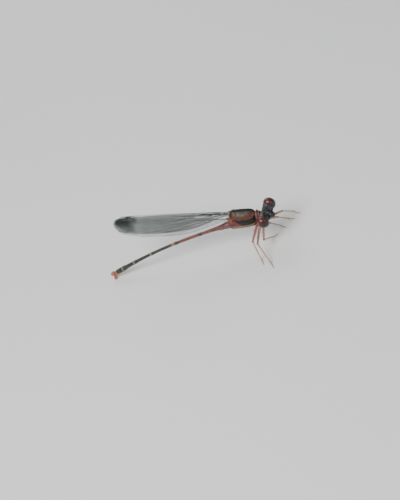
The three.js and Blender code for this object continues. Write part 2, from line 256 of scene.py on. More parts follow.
@dataclass
class Shell:
    """Points, faces and colours that are on their way into a mesh."""

    points: Array
    faces: list[tuple[int, ...]]
    paint: Array
    mask: Array

    @staticmethod
    def from_grid(points: Array, paint: Array, mask: Array | None = None) -> "Shell":
        """A closed skin over a grid whose columns run round a ring, with a fan on each end.

        The volume inside is the sum of a . (b x c) / 6 over its triangles; where it comes out negative, the
        faces are turned over, so that they always look outwards.

        Args:
            points: (rows, columns, 3) places; rows run along the piece.
            paint: (rows, columns, 3) linear colours.
            mask: (rows, columns) values for the finish, or None for ones.

        Returns:
            The closed shell.
        """
        rows, columns = points.shape[:2]
        index = np.arange(rows * columns).reshape(rows, columns)
        beside = np.roll(index, -1, axis=1)
        quads = np.stack([index[:-1], beside[:-1], beside[1:], index[1:]], -1).reshape(-1, 4)
        first, last = rows * columns, rows * columns + 1
        start = np.stack([np.full(columns, first), beside[0], index[0]], -1)
        end = np.stack([np.full(columns, last), index[-1], beside[-1]], -1)
        flat = np.vstack([points.reshape(-1, 3), points[0].mean(0), points[-1].mean(0)])
        colour = np.vstack([paint.reshape(-1, 3), paint[0].mean(0), paint[-1].mean(0)])
        values = np.ones((rows, columns)) if mask is None else mask
        values = np.concatenate([values.ravel(), [values[0].mean(), values[-1].mean()]])
        triangles = np.vstack([quads[:, [0, 1, 2]], quads[:, [0, 2, 3]], start, end])
        a, b, c = (flat[triangles[:, k]] - flat.mean(0) for k in range(3))
        step = 1 if (a * np.cross(b, c)).sum() > 0 else -1
        faces = [tuple(f[::step]) for group in (quads, start, end) for f in group.tolist()]
        return Shell(flat, faces, colour, values)

    def moved(self, places: Array) -> "Shell":
        """The same shell with its points at other places."""
        return Shell(places, self.faces, self.paint, self.mask)


def joined(shells: list[Shell]) -> Shell:
    """Puts several shells together.

    Args:
        shells: the shells.

    Returns:
        One shell with all their points and faces.
    """
    faces: list[tuple[int, ...]] = []
    start = 0
    for shell in shells:
        faces += [tuple(i + start for i in f) for f in shell.faces]
        start += len(shell.points)
    return Shell(
        np.vstack([s.points for s in shells]),
        faces,
        np.vstack([s.paint for s in shells]),
        np.concatenate([s.mask for s in shells]),
    )


def circle(sides: int, side: Array, over: Array) -> Array:
    """Circles of radius 1: cos t * side + sin t * over, with t once round.

    Args:
        sides: points on each circle.
        side: (n, 3) ways of the first axis.
        over: (n, 3) ways of the second axis.

    Returns:
        (n, sides, 3) points.
    """
    t = np.linspace(0, FULL_TURN, sides, endpoint=False)
    return np.cos(t)[None, :, None] * side[:, None] + np.sin(t)[None, :, None] * over[:, None]


def rings_along(path: Array, half: Array, sides: int, up: Array = UPWARD) -> Array:
    """Rings square to a path.

    Args:
        path: (n, 3) places along the middle.
        half: (n,) half widths.
        sides: points in each ring.
        up: the way that the rings' second axis leans to.

    Returns:
        (n, sides, 3) points.
    """
    way = unit(np.gradient(path, axis=0))
    side = unit(np.cross(np.broadcast_to(up, way.shape), way))
    return path[:, None] + circle(sides, side, np.cross(way, side)) * half[:, None, None]


def rings_round(ways: Array, axis: int, sides: int) -> Array:
    """Circles of radius 1 square to each way, begun from a main axis that the way doesn't run along.

    Args:
        ways: (n, 3) unit ways.
        axis: the main axis to begin from, with X in its place where a way runs along it.
        sides: points on each circle.

    Returns:
        (n, sides, 3) points.
    """
    slanted = np.abs(ways[:, axis : axis + 1]) < 0.8
    side = unit(np.cross(np.where(slanted, np.eye(3)[axis], np.eye(3)[0]), ways))
    return circle(sides, side, np.cross(ways, side))


def needles(roots: Array, tips: Array, half: Array, tint: Tint, sides: int = 3) -> Shell:
    """Bristles: each a thin cone of a few sides from its root to its tip.

    Args:
        roots: (n, 3) places of the roots.
        tips: (n, 3) places of the tips.
        half: (n,) half width at the root.
        tint: their colour.
        sides: sides of each cone.

    Returns:
        One shell of all of them.
    """
    n = len(roots)
    ring = roots[:, None] + rings_round(unit(tips - roots), 2, sides) * half[:, None, None]
    points = np.concatenate([ring, tips[:, None]], 1).reshape(-1, 3)
    start = np.arange(n)[:, None] * (sides + 1)
    k = np.arange(sides)
    cones = np.stack([start + k, start + (k + 1) % sides, np.broadcast_to(start + sides, (n, sides))], -1)
    faces = [tuple(f) for f in cones.reshape(-1, 3).tolist()]
    faces += [tuple(f) for f in (start + k[::-1]).tolist()]
    return Shell(points, faces, coat_of(tint, (len(points),)), np.ones(len(points)))


def struts(starts: Array, ends: Array, half: Array, tint: Tint, sides: int = 5) -> Shell:
    """Short straight rods, each a closed prism of a few sides.

    Args:
        starts: (n, 3) first ends.
        ends: (n, 3) last ends.
        half: (n,) half widths.
        tint: their colour.
        sides: sides of each rod.

    Returns:
        One shell of all of them.
    """
    ring = rings_round(unit(ends - starts), 1, sides) * half[:, None, None]
    points = np.concatenate([starts[:, None] + ring, ends[:, None] + ring], 1).reshape(-1, 3)
    start = np.arange(len(starts))[:, None] * (2 * sides)
    k = np.arange(sides)
    after = (k + 1) % sides
    walls = np.stack([start + k, start + after, start + after + sides, start + k + sides], -1)
    faces = [tuple(f) for f in walls.reshape(-1, 4).tolist()]
    faces += [tuple(f) for f in (start + k[::-1]).tolist()]
    faces += [tuple(f) for f in (start + k + sides).tolist()]
    return Shell(points, faces, coat_of(tint, (len(points),)), np.ones(len(points)))


@dataclass(frozen=True)
class Lobe:
    """One ellipsoid of a rounded form, by its centre and half sizes."""

    at: tuple[float, float, float]
    half: tuple[float, float, float]


def swollen(
    centre: tuple[float, float, float], lobes: tuple[Lobe, ...], rows: int, columns: int, soft: float
) -> Array:
    """The smooth union of ellipsoids, seen from one point inside them all.

    Along each ray from the centre, the surface lies at the soft maximum, log(sum(exp(k r))) / k, of the
    distances r at which the ray leaves the ellipsoids.

    Args:
        centre: the point that the rays leave from.
        lobes: the ellipsoids.
        rows: rings from pole to pole, which lie on the X axis.
        columns: points round each ring.
        soft: how far the lobes melt together; 1 / k.

    Returns:
        (rows, columns, 3) points.
    """
    lat = np.linspace(POLE, math.pi - POLE, rows)[:, None]
    lon = np.linspace(0, FULL_TURN, columns, endpoint=False)[None, :]
    rays = np.stack([-np.cos(lat) + 0 * lon, np.sin(lat) * np.cos(lon), -np.sin(lat) * np.sin(lon)], -1)
    reach = []
    for lobe in lobes:
        half = np.array(lobe.half)
        d = rays / half
        o = (np.array(centre) - np.array(lobe.at)) / half
        a, b, c = (d * d).sum(-1), (d * o).sum(-1), (o * o).sum() - 1.0
        inside = b * b - a * c
        reach.append(np.where(inside > 0, (-b + np.sqrt(np.maximum(inside, 0))) / a, 0.0))
    stack = np.maximum(np.stack(reach), 0.0)
    top = stack.max(0)
    distance = top + soft * np.log(np.exp((stack - top) / soft).sum(0))
    return np.array(centre) + rays * distance[..., None]


def vertex_normals(points: Array) -> Array:
    """The way out of a grid that runs round a ring: the cross product of its two directions, off its middle.

    Args:
        points: (rows, columns, 3) places.

    Returns:
        Unit normals of the same shape.
    """
    along = np.gradient(points, axis=0)
    about = np.roll(points, -1, axis=1) - np.roll(points, 1, axis=1)
    out = unit(np.cross(about, along))
    return out * np.sign((out * (points - points.mean((0, 1)))).sum())


@dataclass(frozen=True)
class Hairs:
    """Fine hairs that stand on a skin at random places of its grid."""

    count: int
    seed: int
    rows: tuple[int, int]
    stray: float
    length: tuple[float, float]
    half: float

    def on(self, points: Array) -> Shell:
        """Roots the hairs in a skin.

        Args:
            points: (rows, columns, 3) places of the skin.

        Returns:
            The hairs as thin cones, with their roots sunk in.
        """
        draw = np.random.default_rng(self.seed)
        rows = draw.integers(*self.rows, self.count)
        columns = draw.integers(0, points.shape[1], self.count)
        roots, ways = points[rows, columns], vertex_normals(points)[rows, columns]
        ways = unit(ways + draw.normal(0, self.stray, ways.shape))
        tips = roots + ways * draw.uniform(*self.length, self.count)[:, None]
        return needles(roots - ways * ROOTED, tips, np.full(self.count, self.half), Tint.TAN)


def add_node(
    tree: bpy.types.NodeTree, kind: str, sockets: dict[str, float] | None = None, **settings: object
) -> bpy.types.Node:
    """Adds a shader node.

    Args:
        tree: the tree that gets it.
        kind: its type.
        sockets: constants for its inputs, by name.
        settings: its own properties, by name.

    Returns:
        The new node.
    """
    node = tree.nodes.new(kind)
    for key, value in settings.items():
        setattr(node, key, value)
    for key, value in (sockets or {}).items():
        node.inputs[key].default_value = value
    return node


def add_tint(
    tree: bpy.types.NodeTree, colour: bpy.types.NodeSocket, shade: bpy.types.NodeSocket
) -> bpy.types.Node:
    """Adds a node that multiplies a colour by a shade.

    Args:
        tree: the tree that gets it.
        colour: the colour.
        shade: the values to multiply it by.

    Returns:
        The mixing node, whose third output is the colour.
    """
    mix = add_node(tree, "ShaderNodeMix", data_type="RGBA", blend_type="MULTIPLY")
    tree.links.new(colour, mix.inputs[6])
    tree.links.new(shade, mix.inputs[7])
    return mix


def add_bump(
    tree: bpy.types.NodeTree,
    height: bpy.types.NodeSocket,
    strength: float,
    depth: float,
    invert: bool = False,
) -> None:
    """Adds fine relief to a material's skin.

    Args:
        tree: the material's nodes.
        height: the relief's height.
        strength: how strongly it shows.
        depth: its depth in millimetres.
        invert: whether the height runs inwards.
    """
    sockets = {"Strength": strength, "Distance": depth * MM}
    bump = add_node(tree, "ShaderNodeBump", sockets, invert=invert)
    tree.links.new(height, bump.inputs["Height"])
    tree.links.new(bump.outputs["Normal"], tree.nodes["Principled BSDF"].inputs["Normal"])


def grain_group() -> bpy.types.ShaderNodeTree:
    """The shared effect of uneven colour, gloss and fine pits on insect skin, built once.

    Returns:
        A node group with inputs Colour, Mottle, Size and Gloss, and outputs Colour, Roughness and Height.
    """
    name = "skin_grain"
    if name in bpy.data.node_groups:
        return bpy.data.node_groups[name]
    group = bpy.data.node_groups.new(name, "ShaderNodeTree")
    for way, sockets in (
        ("INPUT", (("Colour", "Color"), ("Mottle", "Float"), ("Size", "Float"), ("Gloss", "Float"))),
        ("OUTPUT", (("Colour", "Color"), ("Roughness", "Float"), ("Height", "Float"))),
    ):
        for label, kind in sockets:
            group.interface.new_socket(label, in_out=way, socket_type=f"NodeSocket{kind}")
    links = group.links
    source, sink = add_node(group, "NodeGroupInput"), add_node(group, "NodeGroupOutput")
    place = add_node(group, "ShaderNodeTexCoord")
    cloud = add_node(group, "ShaderNodeTexNoise", {"Detail": 5.0})
    links.new(place.outputs["Object"], cloud.inputs["Vector"])
    links.new(source.outputs["Size"], cloud.inputs["Scale"])
    fine = add_node(group, "ShaderNodeMath", operation="MULTIPLY")
    fine.inputs[1].default_value = 4.0
    links.new(source.outputs["Size"], fine.inputs[0])
    pits = add_node(group, "ShaderNodeTexVoronoi")
    links.new(fine.outputs[0], pits.inputs["Scale"])
    links.new(place.outputs["Object"], pits.inputs["Vector"])
    limits = {"From Min": 0.3, "From Max": 0.7, "To Min": 0.55, "To Max": 1.45}
    shade = add_node(group, "ShaderNodeMapRange", limits)
    links.new(cloud.outputs["Fac"], shade.inputs["Value"])
    darker = add_tint(group, source.outputs["Colour"], shade.outputs["Result"])
    links.new(source.outputs["Mottle"], darker.inputs["Factor"])
    links.new(darker.outputs[2], sink.inputs["Colour"])
    rough = add_node(group, "ShaderNodeMath", operation="MULTIPLY")
    links.new(source.outputs["Gloss"], rough.inputs[0])
    links.new(shade.outputs["Result"], rough.inputs[1])
    links.new(rough.outputs[0], sink.inputs["Roughness"])
    height = add_node(group, "ShaderNodeMath", operation="ADD")
    links.new(pits.outputs["Distance"], height.inputs[0])
    links.new(cloud.outputs["Fac"], height.inputs[1])
    links.new(height.outputs[0], sink.inputs["Height"])
    return group


@dataclass(frozen=True)
class Finish:
    """A material that is built once, the first time a piece asks for it."""

    name: str

    def material(self) -> bpy.types.Material:
        """Finds the material, or builds it.

        Returns:
            The material.
        """
        if self.name in bpy.data.materials:
            return bpy.data.materials[self.name]
        made = bpy.data.materials.new(self.name)
        made.use_nodes = True
        paint = add_node(made.node_tree, "ShaderNodeAttribute", attribute_name="paint")
        self.dress(made.node_tree, paint.outputs["Color"])
        return made

    def dress(self, tree: bpy.types.NodeTree, paint: bpy.types.NodeSocket) -> None:
        """Sets up the nodes; each finish has its own way.

        Args:
            tree: the material's nodes.
            paint: the colour painted on the piece's points.
        """
        raise NotImplementedError


@dataclass(frozen=True)
class Cuticle(Finish):
    """Insect skin: painted colours with a fine uneven grain under a thin gloss."""

    roughness: float = 0.42
    gloss: float = 0.3
    mottle: float = 0.5
    grain: float = 2600.0
    depth: float = 0.012
    glow: float = 0.0
    shine: float = 0.5

    def dress(self, tree: bpy.types.NodeTree, paint: bpy.types.NodeSocket) -> None:
        """Sets up the nodes.

        Args:
            tree: the material's nodes.
            paint: the colour painted on the piece's points.
        """
        skin = tree.nodes["Principled BSDF"]
        values = {"Mottle": self.mottle, "Size": self.grain, "Gloss": self.roughness}
        grain = add_node(tree, "ShaderNodeGroup", values, node_tree=grain_group())
        tree.links.new(paint, grain.inputs["Colour"])
        tree.links.new(grain.outputs["Colour"], skin.inputs["Base Color"])
        tree.links.new(grain.outputs["Roughness"], skin.inputs["Roughness"])
        add_bump(tree, grain.outputs["Height"], 0.5, self.depth)
        skin.inputs["Specular IOR Level"].default_value = self.shine
        skin.inputs["Coat Weight"].default_value = self.gloss
        skin.inputs["Coat Roughness"].default_value = 0.18
        skin.inputs["Subsurface Weight"].default_value = self.glow
        skin.inputs["Subsurface Radius"].default_value = (0.3, 0.15, 0.1)
        skin.inputs["Subsurface Scale"].default_value = 0.5 * MM


@dataclass(frozen=True)
class EyeGlass(Finish):
    """The compound eye: fine facets under a clear, glossy cornea."""

    name: str = "eye_facets"
    facet: float = 0.045
    roughness: float = 0.28

    def dress(self, tree: bpy.types.NodeTree, paint: bpy.types.NodeSocket) -> None:
        """Sets up the nodes.

        Args:
            tree: the material's nodes.
            paint: the colour painted on the piece's points.
        """
        skin = tree.nodes["Principled BSDF"]
        place = add_node(tree, "ShaderNodeTexCoord")
        size = {"Scale": 1.0 / (self.facet * MM), "Randomness": 0.25}
        facets = add_node(tree, "ShaderNodeTexVoronoi", size)
        tree.links.new(place.outputs["Object"], facets.inputs["Vector"])
        limits = {"From Min": 0.0, "From Max": 0.7, "To Min": 1.25, "To Max": 0.7}
        shade = add_node(tree, "ShaderNodeMapRange", limits)
        tree.links.new(facets.outputs["Distance"], shade.inputs["Value"])
        mix = add_tint(tree, paint, shade.outputs["Result"])
        mix.inputs["Factor"].default_value = 0.6
        tree.links.new(mix.outputs[2], skin.inputs["Base Color"])
        add_bump(tree, facets.outputs["Distance"], 0.35, 0.006, invert=True)
        skin.inputs["Roughness"].default_value = self.roughness
        skin.inputs["Specular IOR Level"].default_value = 0.35
        skin.inputs["Coat Weight"].default_value = 0.45
        skin.inputs["Coat Roughness"].default_value = 0.22


@dataclass(frozen=True)
class Membrane(Finish):
    """The wing's clear skin, tinted by smoke that the mask attribute lays on it."""

    name: str = "wing_membrane"
    roughness: float = 0.16

    def dress(self, tree: bpy.types.NodeTree, paint: bpy.types.NodeSocket) -> None:
        """Sets up the nodes.

        Args:
            tree: the material's nodes.
            paint: the colour painted on the piece's points.
        """
        skin = tree.nodes["Principled BSDF"]
        mask = add_node(tree, "ShaderNodeAttribute", attribute_name="mask")
        place = add_node(tree, "ShaderNodeTexCoord")
        crinkle = add_node(tree, "ShaderNodeTexNoise", {"Scale": 1900.0, "Detail": 3.0})
        tree.links.new(place.outputs["Object"], crinkle.inputs["Vector"])
        add_bump(tree, crinkle.outputs["Fac"], 0.6, 0.05)
        tree.links.new(paint, skin.inputs["Base Color"])
        tree.links.new(mask.outputs["Fac"], skin.inputs["Alpha"])
        skin.inputs["Roughness"].default_value = self.roughness
        skin.inputs["Specular IOR Level"].default_value = 0.4


@dataclass
class Workshop:
    """Turns shells into the scene's pieces."""

    stance: Stance = field(default_factory=Stance)

    def piece(
        self,
        name: str,
        shell: Shell,
        finish: Finish,
        stands_for: tuple[str, ...] = (),
        standing: bool = False,
    ) -> None:
        """Makes one object of a shell, dresses it and sets it on the insect.

        Args:
            name: the object's name.
            shell: its points, faces and colours.
            finish: its material.
            stands_for: the solids that it replaces.
            standing: whether its points are in the standing frame already.
        """
        points = shell.points if standing else self.stance.stand(shell.points)
        points = np.maximum(points, [-np.inf, -np.inf, 0.0])
        mesh = bpy.data.meshes.new(name)
        mesh.from_pydata((points * MM).tolist(), [], shell.faces)
        mesh.polygons.foreach_set("use_smooth", [True] * len(mesh.polygons))
        paint = mesh.attributes.new("paint", "FLOAT_COLOR", "POINT")
        paint.data.foreach_set("color", np.column_stack([shell.paint, np.ones(len(points))]).ravel())
        mask = mesh.attributes.new("mask", "FLOAT", "POINT")
        mask.data.foreach_set("value", shell.mask)
        mesh.update()
        mesh.materials.append(finish.material())
        made = bpy.data.objects.new(name, mesh)
        bpy.context.scene.collection.objects.link(made)
        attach(made, "root")
        if stands_for:
            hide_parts(*stands_for)
        LOG.info("%s: %d faces", name, len(mesh.polygons))


@dataclass
class Thorax:
    """The deep box of the flight muscles, with its keel, seams and stripes."""

    stations: tuple[float, ...] = (-3.1, -2.5, -1.8, -0.7, 0.7, 1.8, 2.5)
    top: tuple[float, ...] = (0.0, 1.5, 2.3, 2.22, 2.02, 1.82, 1.55)
    bottom: tuple[float, ...] = (-1.5, -1.68, -1.75, -1.82, -1.85, -1.75, -1.35)
    half: tuple[float, ...] = (0.72, 1.15, 1.32, 1.42, 1.42, 1.18, 0.8)
    keel: float = 0.3
    rows: int = 170
    columns: int = 180
    fur: Hairs = Hairs(260, 5, (12, 158), 0.25, (0.12, 0.26), 0.006)
    plates: tuple[Lobe, ...] = (
        Lobe((-1.95, 0.3, 1.66), (0.24, 0.12, 0.3)),
        Lobe((-2.2, 0.42, 1.93), (0.3, 0.16, 0.12)),
        Lobe((-2.62, 0.8, 1.0), (0.22, 0.13, 0.28)),
        Lobe((-2.75, 0.7, 1.25), (0.24, 0.16, 0.12)),
    )

    def surface(self) -> tuple[Array, Array, Array]:
        """The skin: ovals across X whose tops are drawn in, with seams pressed in.

        At a share s of the length, the ends are rounded by the factor (1 - 0.995 |2 s - 1|^26)^0.45.

        Returns:
            The points, each point's x, and its angle from the back's midline in degrees, left side negative.
        """
        share = np.linspace(0, 1, self.rows)
        x = self.stations[0] + (self.stations[-1] - self.stations[0]) * share
        top, bottom, half = (curve(self.stations, v, x) for v in (self.top, self.bottom, self.half))
        shrink = (1 - np.abs(2 * share - 1) ** 26 * 0.995) ** 0.45
        turn = np.linspace(0, FULL_TURN, self.columns, endpoint=False)[None, :]
        middle, tall = (top + bottom) / 2, (top - bottom) / 2 * shrink
        up = np.cos(turn)
        draw_in = 1 - self.keel * np.maximum(0, up) ** 2
        y = half[:, None] * shrink[:, None] * np.sin(turn) * draw_in
        z = middle[:, None] + tall[:, None] * up
        points = np.stack([np.broadcast_to(x[:, None], y.shape), y, z], -1)
        angle = np.degrees(np.where(turn > math.pi, turn - FULL_TURN, turn)) + 0 * y
        points += self.relief(points[..., 0], np.abs(angle))[..., None] * vertex_normals(points)
        return points, points[..., 0], angle

    def relief(self, x: Array, angle: Array) -> Array:
        """How far the skin stands out: a keel on the midline and grooves along the seams.

        Args:
            x: places along the body.
            angle: degrees from the back's midline, on either side.

        Returns:
            The height over the plain skin, in millimetres.
        """
        humeral = 74 + 6 * hump(0.2, 1.7, x)
        side_seams = (x - (1.1 - (angle - 70) * 0.022), x - (-0.9 - (angle - 70) * 0.022))
        lift = 0.05 * hump(0, 5, angle) * smooth(-0.9, -0.3, x) * smooth(2.5, 2.0, x)
        lift -= 0.05 * hump(humeral, 2.6, angle)
        for seam in side_seams:
            lift -= 0.05 * hump(0, 0.09, seam) * smooth(72, 84, angle) * smooth(150, 130, angle)
        lift -= 0.035 * hump(128, 3.5, angle)
        lift -= 0.12 * hump(0, 14, angle) * smooth(-0.8, -1.3, x)
        return lift

    def paint(self, points: Array, x: Array, angle: Array) -> Array:
        """The stripes, from the back down: black, olive, red, black, then rose with a pale lower edge.

        Args:
            points: the skin's places, which the uneven fields are read at.
            x: places along the body.
            angle: degrees from the back's midline, left side negative.

        Returns:
            Linear colours.
        """
        a = np.abs(angle) + 2.5 * ripple(points, 0.9, 3) + 1.2 * ripple(points, 0.25, 4)
        low_olive = 61 + 7 * hump(0.2, 1.7, x)
        low_red = low_olive + 11 + 6 * smooth(-1.4, -2.4, x) - 9 * smooth(1.7, 2.4, x)
        low_black = low_red + 40 * smooth(-2.0, 0.2, x)
        over_red_edge = smooth(low_red + 2, low_red - 2, a)
        # Dark red over the rose, growing towards the rear and in uneven patches.
        dark_red_share = 0.5 * smooth(-1.0, -2.8, x) + 0.35 * smooth(0.3, 0.8, ripple(points, 0.8, 6))
        paint = blend(coat_of(Tint.ROSE, a.shape), Tint.DARK_RED, dark_red_share)
        paint = blend(paint, Tint.TAN, 0.5 * smooth(128, 142, a))
        band = smooth(low_black + 2, low_black - 2, a) * smooth(-2.3, -1.5, x)
        paint = blend(paint, Tint.GREEN_BLACK, band)
        paint = blend(paint, Tint.PALE, 0.85 * hump(124, 4, a) * smooth(-2.7, -2.2, x))
        paint = blend(paint, Tint.RED, over_red_edge)
        paint = blend(paint, Tint.BLACK, 0.55 * hump(low_red, 2.0, a) * smooth(-2.6, -2.0, x))
        front = 2.35 - 0.014 * (a - 25)
        paint = blend(paint, Tint.MAUVE, 0.8 * smooth(front, front + 0.1, x) * over_red_edge)
        front_line = hump(front, 0.07, x) * smooth(low_olive + 4, low_olive, a)
        paint = blend(paint, Tint.BLACK, 0.7 * front_line)
        olive = smooth(low_olive + 2, low_olive - 2, a) * smooth(front, front - 0.12, x)
        paint = blend(paint, Tint.OLIVE, olive * smooth(-2.6, -2.35, x))
        paint = blend(paint, Tint.BLACK, 0.35 * olive * hump(30, 8, a))
        paint = blend(paint, Tint.RED, 0.3 * olive * hump(low_olive - 5, 5, a))
        paint = blend(paint, Tint.GREEN_BLACK, smooth(27, 21, a) * smooth(2.48, 2.36, x))
        paint = blend(paint, Tint.BLACK, 0.8 * smooth(12, 7, a))
        seams = hump(-2.45 + 0.006 * (a - 40), 0.05, x) + hump(-2.15 + 0.01 * (a - 60), 0.04, x)
        shown = 0.6 * np.minimum(seams, 1) * smooth(24, 34, a) * smooth(100, 84, a)
        return blend(paint, Tint.PINK, shown)

    def shell(self) -> Shell:
        """The painted skin of the thorax."""
        points, x, angle = self.surface()
        return Shell.from_grid(points, self.paint(points, x, angle))

    def bristles(self) -> Shell:
        """Short pale hairs that stand on the back and the sides."""
        return self.fur.on(self.surface()[0])

    def hinges(self) -> Shell:
        """The small pale plates that the wing stalks are hinged to.

        Returns:
            Two plates for each wing, as ellipsoids.
        """
        made = []
        for side in Side:
            for plate in self.plates:
                at = (plate.at[0], side.value * plate.at[1], plate.at[2])
                points = swollen(at, (Lobe(at, plate.half),), 28, 30, 0.01)
                worn = smooth(0.0, 0.6, ripple(points, 0.3, 6))
                paint = blend(coat_of(Tint.ROSE, points.shape[:2]), Tint.PALE, worn)
                made.append(Shell.from_grid(points, paint))
        return joined(made)


@dataclass
class Prothorax:
    """The small saddle between head and thorax, with a raised hind lobe, and the thin neck."""

    centre: tuple[float, float, float] = (3.0, 0.0, 0.0)
    lobes: tuple[Lobe, ...] = (
        Lobe((2.9, 0.0, -0.1), (0.9, 0.92, 1.08)),
        Lobe((2.55, 0.0, 0.1), (0.36, 0.8, 1.0)),
        Lobe((2.82, 0.0, 0.66), (0.22, 0.86, 0.62)),
        Lobe((3.2, 0.0, 0.42), (0.32, 0.68, 0.56)),
        Lobe((3.52, 0.0, 0.2), (0.22, 0.54, 0.46)),
        Lobe((3.0, 0.6, -0.35), (0.5, 0.4, 0.6)),
        Lobe((3.0, -0.55, -0.35), (0.5, 0.38, 0.6)),
    )

    def shell(self) -> Shell:
        """The saddle between head and thorax.

        Returns:
            The skin, mauve with a dark crown, a pale lower rim and a pink highlight painted along the top of
            the raised lobe.
        """
        points = swollen(self.centre, self.lobes, 120, 140, 0.05)
        x, y, z = points[..., 0], points[..., 1], points[..., 2]
        paint = coat_of(Tint.MAUVE, x.shape)
        paint = blend(paint, Tint.DARK_RED, 0.7 * smooth(0.2, 0.8, ripple(points, 0.8, 11)))
        paint = blend(paint, Tint.GREEN_BLACK, 0.8 * hump(0, 0.22, y) * smooth(0.2, 0.5, z))
        # Pink along the top of the raised lobe: a painted highlight.
        paint = blend(paint, Tint.PINK, 0.5 * hump(2.8, 0.1, x) * smooth(0.2, 0.9, z))
        paint = blend(paint, Tint.BLACK, 0.6 * smooth(2.62, 2.45, x))
        paint = blend(paint, Tint.GREEN_BLACK, 0.7 * hump(2.98, 0.05, x) * smooth(-0.3, 0.4, z))
        paint = blend(paint, Tint.PALE, 0.5 * smooth(-0.5, -0.95, z))
        return Shell.from_grid(points, paint)

    def neck(self, head: HeadPlace) -> Shell:
        """The soft neck: a tube from inside the saddle to the back of the head.

        Args:
            head: where the head is.

        Returns:
            The tube, with shallow folds round it.
        """
        end = head.to_body(np.array([[-0.5, 0.0, -0.05]]))[0]
        share = np.linspace(0, 1, 24)[:, None]
        path = np.array([3.3, 0.0, 0.1]) * (1 - share) + end * share
        half = 0.3 + 0.025 * np.cos(share[:, 0] * 3 * FULL_TURN)
        rings = rings_along(path, half, 32)
        return Shell.from_grid(rings, coat_of(Tint.DARK_RED, rings.shape[:2]))


